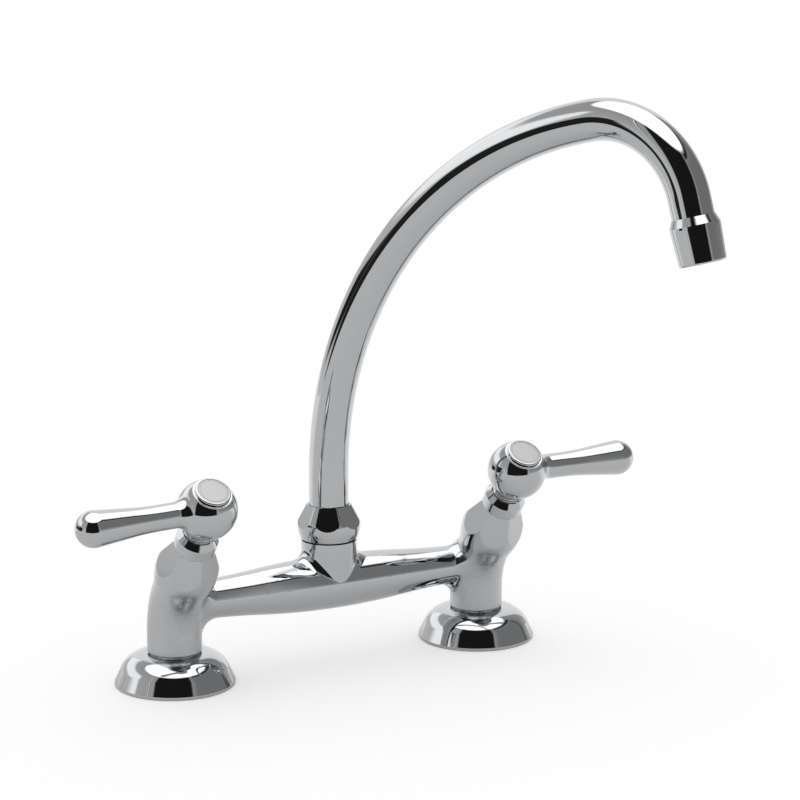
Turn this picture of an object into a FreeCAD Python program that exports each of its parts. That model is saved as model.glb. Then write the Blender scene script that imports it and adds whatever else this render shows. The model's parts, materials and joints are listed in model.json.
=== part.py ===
import FreeCAD, Part
import math
import os

from FreeCAD import Placement, Rotation, Vector

# A bridge kitchen faucet: two valve posts joined by a water-carrying bridge, with a swivel spout on the
# bridge's tee. Lengths are millimetres, angles degrees. +X runs along the bridge, -Y faces the user, +Z is
# up, and the origin lies on the deck, midway between the two posts.

# ---- Fits ----
RUNNING_GAP = 0.08       # radial, a part that turns in its bore
SEAT_GAP = 0.05          # radial, a part that is pushed or screwed into its bore
FACE_GAP = 0.1           # axial, between faces that slide on each other
LOOSE_GAP = 0.3          # radial, a hole that a part only passes through
SEAL_GAP = 0.03          # a rubber ring and the bore that it turns in
GROOVE_SLACK = 0.4       # how much longer a ring's groove is than the ring

# ---- Deck and fixing ----
POST_SPACING = 203.2     # the 8 inch hole spacing that bridge faucets share
DECK_THICKNESS = 30.0
SHANK_RADIUS = 10.4
SHANK_BORE = 6.5
SHANK_ENGAGEMENT = 14.0  # thread length inside the post
SHANK_BELOW_DECK = 62.0
SHANK_CHAMFER = 1.0
SUPPLY_THREAD = 12.0     # full thread at the shank's lower end
RELIEF_WIDTH = 2.0       # plain neck above that thread
RELIEF_DEPTH = 0.9
RUBBER_WASHER_RADIUS = 22.0
RUBBER_WASHER_HEIGHT = 3.0
STEEL_WASHER_RADIUS = 21.0
STEEL_WASHER_HEIGHT = 1.5
LOCKNUT_ACROSS_FLATS = 32.0
LOCKNUT_HEIGHT = 10.0
LOCKNUT_CHAMFER = 1.6

# ---- Escutcheons ----
FLANGE_RADIUS = 35.3
FLANGE_RIM = 2.0
FLANGE_HEIGHT = 18.9
FLANGE_CREST_RADIUS = 17.6
FLANGE_CROWN = 15.6      # radius of the dome's rounded shoulder
FLANGE_CROWN_TURN = 64.0
FLANGE_LIP = 1.6         # radius of the rounded edge round the hole
FLANGE_WALL = 1.8
FLANGE_EDGE = 0.5
FLANGE_FOOT_WIDTH = 6.0
FLANGE_FOOT_HEIGHT = 3.0
GASKET_WIDTH = 3.0
GASKET_HEIGHT = 1.3

# ---- Posts ----
POST_RADIUS = 16.0
FOOT_NECK_RADIUS = 15.0
FOOT_SEAM = 0.8          # between the escutcheon's crest and the post's shoulder
FOOT_CHAMFER = 0.6
ROOT_HEIGHT = 46.5       # where the post's axis meets the valve's axis
VALVE_TILT = 35.0        # forward lean of the valve's axis
ELBOW_RADIUS = 46.0
BALL_DISTANCE = 83.6     # from that meeting point to the ball's centre, along the valve's axis

# ---- Valve nose, measured along the valve's axis from the ball's centre ----
NOSE_TOP = -31.0
NOSE_TOP_RADIUS = 12.1
NOSE_BULGE_RADIUS = 18.4
NOSE_BULGE_AT = -51.0
NOSE_BLEND_RADIUS = 34.0
NOSE_FLAT_TOP = 10.5     # distance of a flat from the axis at the nose's top
NOSE_FLAT_SLOPE = 22.0
HEX_SIDES = 6

# ---- Bridge arms and tee ----
ARM_HEIGHT = 48.0
ARM_MIDDLE_RADIUS = 16.2
ARM_END_RADIUS = 11.3
ARM_PLAIN_END = 5.6      # where the arm no longer swells, up to the post's axis
ARM_POST_FILLET = 11.0
TEE_RADIUS = 16.8
TEE_ROOT_RADIUS = 15.6
TEE_RISE = 26.5          # from the bridge's axis to the tee's shoulder
TEE_STRAIGHT = 3.0
ARM_TEE_FILLET = 7.0

# ---- Waterways ----
INLET_RADIUS = 5.0
ARM_BORE = 6.0
ARM_BORE_WALL = 4.0      # metal left between the bridge's bore and a post's bore
OUTLET_BORE = 2.6
OUTLET_OFFSET = 10.0
OUTLET_TOP = -44.0
TEE_BORE = 6.5

# ---- Cartridge ----
CHAMBER_RADIUS = 8.8
CHAMBER_FLOOR = -56.0
BONNET_RADIUS = 12.3
BONNET_TOP = -19.6
BONNET_RIM_RADIUS = 9.6
BONNET_CONE_END = -23.1  # where the bonnet's cone meets its straight collar
BONNET_EDGE = 1.0
BONNET_SOCKET_RADIUS = 9.2
BONNET_SOCKET_FLOOR = -24.0
BONNET_LIP_ROUND = 0.3
BONNET_THREAD_RADIUS = 9.3
BONNET_THREAD_END = -37.5
CARTRIDGE_RADIUS = 8.6
CARTRIDGE_NECK_RADIUS = 5.8
CARTRIDGE_TOP = -23.2
CARTRIDGE_CHAMFER = 0.4
BODY_ORING_AT = -41.0
BODY_ORING_THICKNESS = 1.6
DISC_POCKET_RADIUS = 7.2
DISC_RADIUS = 7.0
FIXED_DISC_HEIGHT = 2.7
MOVING_DISC_HEIGHT = 2.5
DISC_PORT_RADIUS = 1.9
DISC_PORT_OFFSET = 3.8
SEAT_SEAL_HEIGHT = 2.0
SEAT_SEAL_WIDTH = 1.7
WINDOW_WIDTH = 8.0
WINDOW_HEIGHT = 3.5
STEM_RADIUS = 4.0
STEM_FOOT_RADIUS = 6.4
STEM_FOOT_HEIGHT = 3.0
STEM_TOP = -4.3
STEM_TAP_DEPTH = 14.0
STEM_ORING_AT = -28.0
STEM_ORING_THICKNESS = 1.1

# ---- Handles ----
BALL_RADIUS = 17.6
BALL_BOTTOM = -15.7
HUB_RADIUS = 6.5
HUB_BOTTOM = -21.0
LEVER_LENGTH = 80.7
LEVER_REST_TURNS = {-1: 2.8, 1: 0.0}  # how far each side's lever stands turned towards the user
LEVER_NECK_RADIUS = 7.5
LEVER_FLARE_RADIUS = 180.0
LEVER_TAPER = 5.7        # half angle of the lever's flared end
LEVER_END_RADIUS = 10.6
LEVER_FILLET = 9.0
CAP_SEAT = 13.9
CAP_SEAT_RADIUS = 11.7
CAP_SEAT_ROUND = 0.5
CAP_RADIUS = 10.4
CAP_HEIGHT = 1.7
CAP_ROUND = 0.9
CAP_SPIGOT_RADIUS = 8.0
CAP_SPIGOT_LENGTH = 3.0
INDEX_RADIUS = 9.2
INDEX_HEIGHT = 0.8
INDEX_RECESS = 0.15      # how far the index disc lies below the cap's rim
SCREW_RADIUS = 2.0
SCREW_LENGTH = 18.0
SCREW_SEAT = 3.2
SCREW_HEAD_RADIUS = 4.2
SCREW_HEAD_HEIGHT = 3.6
SCREW_KEY = 3.0          # across the flats of the socket in the screw's head
SCREW_KEY_DEPTH = 2.0

# ---- Skirt ring under the ball ----
SKIRT_GROOVE_RADIUS = 7.4
SKIRT_BOTTOM = -20.5
SKIRT_BEAD_HALF = 0.7
SKIRT_BEADS = ((-16.6, 7.9), (-18.15, 8.4), (-19.7, 8.8))

# ---- Spout ----
TUBE_RADIUS = 11.75
TUBE_WALL = 1.4
SPOUT_SWING = 25.35      # rest angle of the spout, from straight ahead towards +X
RISER_LENGTH = 28.4
SWEEP_RADIUS = 227.0
SWEEP_ANGLE = 78.4
CROOK_RADIUS = 52.8
OUTLET_LEAN = 15.2       # how far the outlet's axis leans outwards
OUTLET_RUN = 9.8         # bare tube between the crook and the aerator's housing

# ---- Spout nut, fitting and seals ----
NUT_SEAM = 0.4           # between the tee's shoulder and the nut
NUT_HEIGHT = 21.1
NUT_TOP_RADIUS = 13.4
NUT_CONE = 28.0          # slope of the nut's upper part
NUT_BALL_RADIUS = 18.8
NUT_BALL_RISE = 8.9      # from the nut's foot to the middle of its ball
NUT_SHOULDER_ROUND = 5.0
NUT_FLAT_TOP = 12.4      # distance of a flat from the axis at the nut's top
NUT_FLAT_SLOPE = 26.0
NUT_EDGE = 0.7
SPIGOT_RADIUS = 12.9
SPIGOT_LENGTH = 9.5
SOCKET_RADIUS = 10.5
SOCKET_DEPTH = 26.0
FITTING_FLOOR_GAP = 2.0
FITTING_FLANGE_HEIGHT = 1.6
FITTING_BORE = 7.0
FITTING_STUB_HEIGHT = 10.0
FITTING_CHAMFER = 0.6
GLIDE_RING_HEIGHT = 0.9
SPOUT_ORING_THICKNESS = 1.8
SPOUT_ORING_DEPTHS = (("lower", 18.0), ("upper", 8.0))

# ---- Aerator, measured down the outlet's axis from where its housing starts ----
HOUSING_EDGE_RADIUS = 12.1
HOUSING_CONE = 4.6
HOUSING_RADIUS = 14.0
HOUSING_END_RADIUS = 13.1
HOUSING_LENGTH = 25.6
HOUSING_SHOULDER = 1.2
HOUSING_END_ROUND = 1.2
HOUSING_SLEEVE = 9.0     # length that covers the tube
HOUSING_LEDGE = 1.2
HOUSING_LEDGE_RADIUS = 9.6
HOUSING_THREAD_RADIUS = 11.6
AERATOR_WASHER_HEIGHT = 1.5
AERATOR_WASHER_WIDTH = 2.2
INSERT_RECESS = 0.8
INSERT_WALL = 1.8
INSERT_SCREEN = 2.0
SCREEN_HOLE_RADIUS = 0.75
SCREEN_RINGS = 3
SCREEN_PITCH = 2.7

HALF_SPACING = POST_SPACING / 2
ARM_SWELL_REACH = HALF_SPACING - ARM_PLAIN_END
TEE_TOP = ARM_HEIGHT + TEE_RISE
SPIGOT_TOP = TEE_TOP + SPIGOT_LENGTH
SOCKET_FLOOR = SPIGOT_TOP - SOCKET_DEPTH
NUT_LOW = TEE_TOP + NUT_SEAM
NUT_TOP = NUT_LOW + NUT_HEIGHT
NUT_BALL_HEIGHT = NUT_LOW + NUT_BALL_RISE
SIDES = (("left", -1), ("right", 1))
FULL_TURN = 360.0
RIGHT_ANGLE = 90.0
BELOW = 1.0              # how far a cutter reaches past a face
CENTRE = Vector(0, 0, 0)
X_AXIS = Vector(1, 0, 0)
Y_AXIS = Vector(0, 1, 0)
Z_AXIS = Vector(0, 0, 1)


class Outline:
    """A closed outline in the plane of radius and height, turned about the Z axis."""

    def __init__(self, radius, height):
        self.start = Vector(radius, 0, height)
        self.here = self.start
        self.edges = []

    def line(self, radius, height):
        end = Vector(radius, 0, height)
        self.edges.append(Part.LineSegment(self.here, end).toShape())
        self.here = end

    def via(self, mid_radius, mid_height, radius, height):
        """An arc through a middle point."""
        end = Vector(radius, 0, height)
        middle = Vector(mid_radius, 0, mid_height)
        self.edges.append(Part.Arc(self.here, middle, end).toShape())
        self.here = end

    def around(self, centre_radius, centre_height, radius, height):
        """The shorter arc about a centre."""
        centre = Vector(centre_radius, 0, centre_height)
        first = self.here - centre
        last = Vector(radius, 0, height) - centre
        halfway = first + last
        middle = centre + halfway.normalize() * first.Length
        self.via(middle.x, middle.z, radius, height)

    def turned(self):
        """The solid of revolution, its outline closed by a straight line if it is still open."""
        if self.here.distanceToPoint(self.start) > SEAT_GAP:
            self.line(self.start.x, self.start.z)
        face = Part.Face(Part.Wire(self.edges))
        return face.revolve(CENTRE, Z_AXIS, FULL_TURN)


def rod(radius, low, high):
    return Part.makeCylinder(radius, high - low, Vector(0, 0, low))


def ring(inner, outer, low, high):
    return rod(outer, low, high).cut(rod(inner, low - BELOW, high + BELOW))


def oring(outer_radius, thickness, height):
    return Part.makeTorus(outer_radius - thickness / 2, thickness / 2, Vector(0, 0, height))


def oring_groove(seal_radius, thickness, height):
    """What a groove for a rubber ring takes off a shaft."""
    half = (thickness + GROOVE_SLACK) / 2
    return ring(seal_radius - thickness, seal_radius + BELOW, height - half, height + half)


def hexagon(flat, height):
    """The corners of a hexagon whose sides lie at the distance flat, two of them square to the X axis."""
    corner = flat / math.cos(math.pi / HEX_SIDES)
    points = []
    for side in range(HEX_SIDES + 1):
        angle = math.radians(FULL_TURN / HEX_SIDES * (side + 0.5))
        points.append(Vector(corner * math.cos(angle), corner * math.sin(angle), height))
    return points


def hexagon_bar(across_flats, low, high):
    return Part.Face(Part.makePolygon(hexagon(across_flats / 2, low))).extrude(Vector(0, 0, high - low))


def hexagon_spire(flat_at_top, slope, low, high):
    """A hexagonal spire that widens downwards at a slope."""
    widening = (high - low) * math.tan(math.radians(slope))
    foot = hexagon(flat_at_top + widening, low)
    top = hexagon(flat_at_top, high)
    faces = [Part.Face(Part.makePolygon(foot)), Part.Face(Part.makePolygon(top))]
    for side in range(HEX_SIDES):
        corners = [foot[side], foot[side + 1], top[side + 1], top[side], foot[side]]
        faces.append(Part.Face(Part.makePolygon(corners)))
    return Part.Solid(Part.Shell(faces))


def rounded_hexagon_chamfer(across_flats, low, high, chamfer):
    """The two cones that take the corners off a nut."""
    flat = across_flats / 2
    corner = flat / math.cos(math.pi / HEX_SIDES)
    outline = Outline(0, low)
    outline.line(flat, low)
    outline.line(corner + BELOW, low + chamfer)
    outline.line(corner + BELOW, high - chamfer)
    outline.line(flat, high)
    outline.line(0, high)
    return outline.turned()


def edges_where(shape, wanted):
    """The edges whose bounding box passes a test."""
    found = []
    for edge in shape.Edges:
        if wanted(edge.BoundBox):
            found.append(edge)
    return found


def at_post(shape, side):
    placed = shape.copy()
    placed.translate(Vector(side * HALF_SPACING, 0, 0))
    return placed


def ball_centre(side):
    tilt = math.radians(VALVE_TILT)
    forward = BALL_DISTANCE * math.sin(tilt)
    rise = BALL_DISTANCE * math.cos(tilt)
    return Vector(side * HALF_SPACING, -forward, ROOT_HEIGHT + rise)


def on_valve(shape, side):
    """Moves a shape made along Z about the ball's centre onto a valve's axis."""
    placed = shape.copy()
    onto = Placement(ball_centre(side), Rotation(X_AXIS, VALVE_TILT))
    placed.Placement = onto.multiply(shape.Placement)
    return placed


def along_x(shape, side):
    """Turns a shape made along +Z so that it runs along +X or -X."""
    turned = shape.copy()
    turned.rotate(CENTRE, Y_AXIS, side * RIGHT_ANGLE)
    return turned


# ---- Bridge body ----

def elbow_tangent():
    """Distance from the meeting point of a post's two axes to where the elbow starts."""
    return ELBOW_RADIUS * math.tan(math.radians(VALVE_TILT / 2))


def elbow_start():
    return ROOT_HEIGHT - elbow_tangent()


def elbow_end():
    return elbow_tangent() - BALL_DISTANCE


def elbow(radius):
    disc = Part.Face(Part.Wire(Part.makeCircle(radius, Vector(0, 0, elbow_start()), Z_AXIS)))
    return disc.revolve(Vector(0, -ELBOW_RADIUS, elbow_start()), X_AXIS, VALVE_TILT)


def post_column():
    shoulder = FLANGE_HEIGHT + FOOT_SEAM
    outline = Outline(0, 0)
    outline.line(FOOT_NECK_RADIUS, 0)
    outline.line(FOOT_NECK_RADIUS, shoulder)
    outline.line(POST_RADIUS - FOOT_CHAMFER, shoulder)
    outline.line(POST_RADIUS, shoulder + FOOT_CHAMFER)
    outline.line(POST_RADIUS, elbow_start())
    outline.line(0, elbow_start())
    return outline.turned().fuse(elbow(POST_RADIUS))


def valve_nose():
    """The bulged, six-sided valve holder, along Z about the ball's centre."""
    depth = NOSE_BULGE_RADIUS - NOSE_TOP_RADIUS
    reach = NOSE_TOP - NOSE_BULGE_AT
    bulge = (reach ** 2 + depth ** 2) / (2 * depth)
    bulge_centre = NOSE_BULGE_RADIUS - bulge
    blend_centre = POST_RADIUS + NOSE_BLEND_RADIUS
    span = blend_centre - bulge_centre
    drop = math.sqrt((bulge + NOSE_BLEND_RADIUS) ** 2 - span ** 2)
    share = bulge / (bulge + NOSE_BLEND_RADIUS)
    blend_height = NOSE_BULGE_AT - drop
    outline = Outline(0, elbow_end())
    outline.line(POST_RADIUS, elbow_end())
    outline.line(POST_RADIUS, blend_height)
    outline.around(blend_centre, blend_height, bulge_centre + span * share, NOSE_BULGE_AT - drop * share)
    outline.via(NOSE_BULGE_RADIUS, NOSE_BULGE_AT, NOSE_TOP_RADIUS, NOSE_TOP)
    outline.line(0, NOSE_TOP)
    spire = hexagon_spire(NOSE_FLAT_TOP, NOSE_FLAT_SLOPE, elbow_end() - BELOW, NOSE_TOP)
    return outline.turned().common(spire)


def bridge_arms():
    middle = ARM_SWELL_REACH / 2
    waist = (ARM_MIDDLE_RADIUS + ARM_END_RADIUS) / 2
    depth = ARM_MIDDLE_RADIUS - waist
    swell = (middle ** 2 + depth ** 2) / (2 * depth)
    outline = Outline(0, -HALF_SPACING)
    outline.line(ARM_END_RADIUS, -HALF_SPACING)
    outline.line(ARM_END_RADIUS, -ARM_SWELL_REACH)
    outline.around(ARM_END_RADIUS + swell, -ARM_SWELL_REACH, waist, -middle)
    outline.via(ARM_MIDDLE_RADIUS, 0, waist, middle)
    outline.around(ARM_END_RADIUS + swell, ARM_SWELL_REACH, ARM_END_RADIUS, ARM_SWELL_REACH)
    outline.line(ARM_END_RADIUS, HALF_SPACING)
    outline.line(0, HALF_SPACING)
    arms = along_x(outline.turned(), 1)
    arms.translate(Vector(0, 0, ARM_HEIGHT))
    return arms


def tee_boss():
    outline = Outline(0, ARM_HEIGHT)
    outline.line(TEE_ROOT_RADIUS, ARM_HEIGHT)
    outline.line(TEE_RADIUS, TEE_TOP - TEE_STRAIGHT)
    outline.line(TEE_RADIUS, TEE_TOP)
    outline.line(SPIGOT_RADIUS, TEE_TOP)
    outline.line(SPIGOT_RADIUS, SPIGOT_TOP)
    outline.line(0, SPIGOT_TOP)
    return outline.turned()


def bridge_casting():
    """The outer shape of the bridge, its tee and its two posts, with rounded inner corners."""
    casting = bridge_arms().fuse(tee_boss()).removeSplitter()

    def at_tee(box):
        above = box.ZMin > ARM_HEIGHT
        below = box.ZMax < TEE_TOP - TEE_STRAIGHT
        return above and below and max(abs(box.XMin), abs(box.XMax)) < ARM_MIDDLE_RADIUS + BELOW

    casting = casting.makeFillet(ARM_TEE_FILLET, edges_where(casting, at_tee))
    for _, side in SIDES:
        casting = casting.fuse(at_post(post_column(), side))
    casting = casting.removeSplitter()

    def on_a_post(box):
        near = min(abs(box.XMin), abs(box.XMax)) > HALF_SPACING - POST_RADIUS - BELOW
        level = abs(box.Center.z - ARM_HEIGHT) < ARM_END_RADIUS
        below = box.ZMax < ARM_HEIGHT + ARM_END_RADIUS + BELOW
        above = box.ZMin > ARM_HEIGHT - ARM_END_RADIUS - BELOW
        return near and level and below and above

    casting = casting.makeFillet(ARM_POST_FILLET, edges_where(casting, on_a_post))
    for _, side in SIDES:
        casting = casting.fuse(on_valve(valve_nose(), side))
    return casting.removeSplitter()


def post_waterway():
    """The inlet bore up a post and round its elbow, in the post's own frame."""
    shank_hole = rod(SHANK_RADIUS + SEAT_GAP, -BELOW, SHANK_ENGAGEMENT + SEAT_GAP)
    riser = rod(INLET_RADIUS, -BELOW, elbow_start())
    return shank_hole.fuse([riser, elbow(INLET_RADIUS)])


def valve_waterway(side):
    """The chamber, its thread and its two ports, along Z about the ball's centre."""
    inlet = rod(INLET_RADIUS, elbow_end(), CHAMBER_FLOOR + BELOW)
    chamber = rod(CHAMBER_RADIUS, CHAMBER_FLOOR, NOSE_TOP + BELOW)
    thread = rod(BONNET_THREAD_RADIUS + SEAT_GAP, BONNET_THREAD_END - SEAT_GAP, NOSE_TOP + BELOW)
    outlet = rod(OUTLET_BORE, -BALL_DISTANCE, OUTLET_TOP)
    outlet.translate(Vector(-side * OUTLET_OFFSET, 0, 0))
    return inlet.fuse([chamber, thread, outlet])


def arm_waterway():
    reach = HALF_SPACING - INLET_RADIUS - ARM_BORE_WALL
    bore = along_x(rod(ARM_BORE, -reach, reach), 1)
    bore.translate(Vector(0, 0, ARM_HEIGHT))
    riser = rod(TEE_BORE, ARM_HEIGHT, SPIGOT_TOP)
    socket = rod(SOCKET_RADIUS, SOCKET_FLOOR, SPIGOT_TOP + BELOW)
    return bore.fuse([riser, socket])


def bridge_body():
    body = bridge_casting().cut(arm_waterway())
    for _, side in SIDES:
        body = body.cut(at_post(post_waterway(), side))
        body = body.cut(on_valve(valve_waterway(side), side))
    return body


# ---- Escutcheon and deck fixing, about a post's axis ----

def dome(outline, crown, base_radius, base_height):
    """The shoulder of an escutcheon, from the hole's edge out and down to the base."""
    turn = math.radians(FLANGE_CROWN_TURN)
    centre_height = FLANGE_HEIGHT - FLANGE_CROWN
    shoulder_radius = FLANGE_CREST_RADIUS + crown * math.sin(turn)
    shoulder_height = centre_height + crown * math.cos(turn)
    outline.around(FLANGE_CREST_RADIUS, centre_height, shoulder_radius, shoulder_height)
    outline.line(base_radius, base_height)


def escutcheon():
    hole = FOOT_NECK_RADIUS + LOOSE_GAP
    lip_start = hole + FLANGE_LIP
    foot_inside = FLANGE_RADIUS - FLANGE_FOOT_WIDTH
    outline = Outline(lip_start, FLANGE_HEIGHT)
    outline.line(FLANGE_CREST_RADIUS, FLANGE_HEIGHT)
    dome(outline, FLANGE_CROWN, FLANGE_RADIUS, FLANGE_RIM)
    outline.line(FLANGE_RADIUS, FLANGE_EDGE)
    outline.line(FLANGE_RADIUS - FLANGE_EDGE, 0)
    outline.line(foot_inside, 0)
    outline.line(foot_inside, FLANGE_FOOT_HEIGHT)
    outline.line(foot_inside + FLANGE_WALL, FLANGE_FOOT_HEIGHT)
    turn = math.radians(FLANGE_CROWN_TURN)
    centre_height = FLANGE_HEIGHT - FLANGE_CROWN
    crown = FLANGE_CROWN - FLANGE_WALL
    outline.line(FLANGE_CREST_RADIUS + crown * math.sin(turn), centre_height + crown * math.cos(turn))
    outline.around(FLANGE_CREST_RADIUS, centre_height, FLANGE_CREST_RADIUS, FLANGE_HEIGHT - FLANGE_WALL)
    outline.line(hole, FLANGE_HEIGHT - FLANGE_WALL)
    outline.line(hole, FLANGE_HEIGHT - FLANGE_LIP)
    outline.around(lip_start, FLANGE_HEIGHT - FLANGE_LIP, lip_start, FLANGE_HEIGHT)
    return outline.turned().cut(gasket_ring(SEAT_GAP))


def gasket_ring(gap):
    """The ring under an escutcheon's foot, or with a gap the groove that holds it."""
    middle = FLANGE_RADIUS - FLANGE_FOOT_WIDTH / 2
    inner = middle - GASKET_WIDTH / 2
    return ring(inner - gap, inner + GASKET_WIDTH + gap, -gap, GASKET_HEIGHT + gap)


def shank():
    low = -SHANK_BELOW_DECK
    relief = low + SHANK_CHAMFER + SUPPLY_THREAD
    outline = Outline(SHANK_BORE, low)
    outline.line(SHANK_RADIUS - SHANK_CHAMFER, low)
    outline.line(SHANK_RADIUS, low + SHANK_CHAMFER)
    outline.line(SHANK_RADIUS, relief)
    outline.line(SHANK_RADIUS - RELIEF_DEPTH, relief)
    outline.line(SHANK_RADIUS - RELIEF_DEPTH, relief + RELIEF_WIDTH)
    outline.line(SHANK_RADIUS, relief + RELIEF_WIDTH)
    outline.line(SHANK_RADIUS, SHANK_ENGAGEMENT - SHANK_CHAMFER)
    outline.line(SHANK_RADIUS - SHANK_CHAMFER, SHANK_ENGAGEMENT)
    outline.line(SHANK_BORE, SHANK_ENGAGEMENT)
    return outline.turned()


def rubber_washer():
    top = -DECK_THICKNESS
    return ring(SHANK_RADIUS + LOOSE_GAP, RUBBER_WASHER_RADIUS, top - RUBBER_WASHER_HEIGHT, top)


def steel_washer():
    top = -DECK_THICKNESS - RUBBER_WASHER_HEIGHT
    return ring(SHANK_RADIUS + LOOSE_GAP, STEEL_WASHER_RADIUS, top - STEEL_WASHER_HEIGHT, top)


def locknut():
    top = -DECK_THICKNESS - RUBBER_WASHER_HEIGHT - STEEL_WASHER_HEIGHT
    low = top - LOCKNUT_HEIGHT
    nut = hexagon_bar(LOCKNUT_ACROSS_FLATS, low, top)
    nut = nut.common(rounded_hexagon_chamfer(LOCKNUT_ACROSS_FLATS, low, top, LOCKNUT_CHAMFER))
    return nut.cut(rod(SHANK_RADIUS + SEAT_GAP, low - BELOW, top + BELOW))


# ---- Cartridge and bonnet, along Z about the ball's centre ----

def bonnet():
    foot = BONNET_RADIUS - BONNET_EDGE
    outline = Outline(BONNET_SOCKET_RADIUS + BONNET_LIP_ROUND, BONNET_TOP)
    outline.line(BONNET_RIM_RADIUS, BONNET_TOP)
    outline.line(BONNET_RADIUS, BONNET_CONE_END)
    outline.line(BONNET_RADIUS, NOSE_TOP + BONNET_EDGE)
    outline.around(foot, NOSE_TOP + BONNET_EDGE, foot, NOSE_TOP)
    outline.line(BONNET_THREAD_RADIUS, NOSE_TOP)
    outline.line(BONNET_THREAD_RADIUS, BONNET_THREAD_END)
    outline.line(CARTRIDGE_NECK_RADIUS + SEAT_GAP, BONNET_THREAD_END)
    outline.line(CARTRIDGE_NECK_RADIUS + SEAT_GAP, BONNET_SOCKET_FLOOR)
    outline.line(BONNET_SOCKET_RADIUS, BONNET_SOCKET_FLOOR)
    outline.line(BONNET_SOCKET_RADIUS, BONNET_TOP - BONNET_LIP_ROUND)
    return outline.turned()


def cartridge_bottom():
    return CHAMBER_FLOOR + SEAT_SEAL_HEIGHT


def fixed_disc_top():
    return cartridge_bottom() + FIXED_DISC_HEIGHT


def moving_disc_low():
    return fixed_disc_top() + FACE_GAP


def stem_foot_low():
    return moving_disc_low() + MOVING_DISC_HEIGHT


def pocket_top():
    """Top of the cartridge's hollow, just above the stem's foot."""
    return stem_foot_low() + STEM_FOOT_HEIGHT + FACE_GAP


def cartridge():
    low = cartridge_bottom()
    shoulder = BONNET_THREAD_END - SEAT_GAP
    outline = Outline(DISC_POCKET_RADIUS, low)
    outline.line(CARTRIDGE_RADIUS, low)
    outline.line(CARTRIDGE_RADIUS, shoulder)
    outline.line(CARTRIDGE_NECK_RADIUS, shoulder)
    outline.line(CARTRIDGE_NECK_RADIUS, CARTRIDGE_TOP - CARTRIDGE_CHAMFER)
    outline.line(CARTRIDGE_NECK_RADIUS - CARTRIDGE_CHAMFER, CARTRIDGE_TOP)
    outline.line(STEM_RADIUS + RUNNING_GAP, CARTRIDGE_TOP)
    outline.line(STEM_RADIUS + RUNNING_GAP, pocket_top())
    outline.line(DISC_POCKET_RADIUS, pocket_top())
    housing = outline.turned().cut(oring_groove(CHAMBER_RADIUS, BODY_ORING_THICKNESS, BODY_ORING_AT))
    middle = stem_foot_low()
    reach = CARTRIDGE_RADIUS + BELOW
    for along, across in ((reach, WINDOW_WIDTH / 2), (WINDOW_WIDTH / 2, reach)):
        corner = Vector(-along, -across, middle - WINDOW_HEIGHT / 2)
        housing = housing.cut(Part.makeBox(2 * along, 2 * across, WINDOW_HEIGHT, corner))
    return housing


def cartridge_seal():
    return oring(CHAMBER_RADIUS, BODY_ORING_THICKNESS, BODY_ORING_AT)


def seat_seal():
    return ring(DISC_RADIUS - SEAT_SEAL_WIDTH, DISC_RADIUS, CHAMBER_FLOOR, cartridge_bottom())


def valve_disc(radius, low, height):
    """A ceramic disc with two ports on opposite sides of its centre."""
    disc = rod(radius, low, low + height)
    for way in (-1, 1):
        port = rod(DISC_PORT_RADIUS, low - BELOW, low + height + BELOW)
        port.translate(Vector(0, way * DISC_PORT_OFFSET, 0))
        disc = disc.cut(port)
    return disc


def fixed_disc():
    return valve_disc(DISC_POCKET_RADIUS - SEAT_GAP, cartridge_bottom(), FIXED_DISC_HEIGHT)


def moving_disc():
    disc = valve_disc(DISC_RADIUS, moving_disc_low(), MOVING_DISC_HEIGHT)
    disc.rotate(CENTRE, Z_AXIS, RIGHT_ANGLE)
    return disc


def stem_seal_radius():
    return STEM_RADIUS + RUNNING_GAP - SEAL_GAP


def stem():
    low = stem_foot_low()
    foot_top = low + STEM_FOOT_HEIGHT
    outline = Outline(0, low)
    outline.line(STEM_FOOT_RADIUS, low)
    outline.line(STEM_FOOT_RADIUS, foot_top)
    outline.line(STEM_RADIUS, foot_top)
    outline.line(STEM_RADIUS, STEM_TOP)
    outline.line(0, STEM_TOP)
    turned = outline.turned().cut(oring_groove(stem_seal_radius(), STEM_ORING_THICKNESS, STEM_ORING_AT))
    tap = rod(SCREW_RADIUS + SEAT_GAP, STEM_TOP - STEM_TAP_DEPTH, STEM_TOP + BELOW)
    slot = Part.makeBox(2 * STEM_FOOT_RADIUS, 2 * DISC_PORT_RADIUS, STEM_FOOT_HEIGHT / 2 + BELOW)
    slot.translate(Vector(-STEM_FOOT_RADIUS, -DISC_PORT_RADIUS, low - BELOW))
    return turned.cut([tap, slot])


def stem_seal():
    return oring(stem_seal_radius(), STEM_ORING_THICKNESS, STEM_ORING_AT)


# ---- Handle, along Z about the ball's centre ----

def lever(side):
    """The flared lever, along X from the ball's centre."""
    taper = math.radians(LEVER_TAPER)
    end_centre = LEVER_LENGTH - LEVER_END_RADIUS
    touch_radius = LEVER_END_RADIUS * math.cos(taper)
    touch_height = end_centre - LEVER_END_RADIUS * math.sin(taper)
    flare_centre = LEVER_NECK_RADIUS + LEVER_FLARE_RADIUS
    flare_end_radius = flare_centre - LEVER_FLARE_RADIUS * math.cos(taper)
    flare_end = touch_height - (touch_radius - flare_end_radius) / math.tan(taper)
    flare_start = flare_end - LEVER_FLARE_RADIUS * math.sin(taper)
    outline = Outline(0, 0)
    outline.line(LEVER_NECK_RADIUS, 0)
    outline.line(LEVER_NECK_RADIUS, flare_start)
    outline.around(flare_centre, flare_start, flare_end_radius, flare_end)
    outline.line(touch_radius, touch_height)
    middle = LEVER_END_RADIUS * math.sqrt(0.5)
    outline.via(middle, end_centre + middle, 0, LEVER_LENGTH)
    return along_x(outline.turned(), side)


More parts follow.
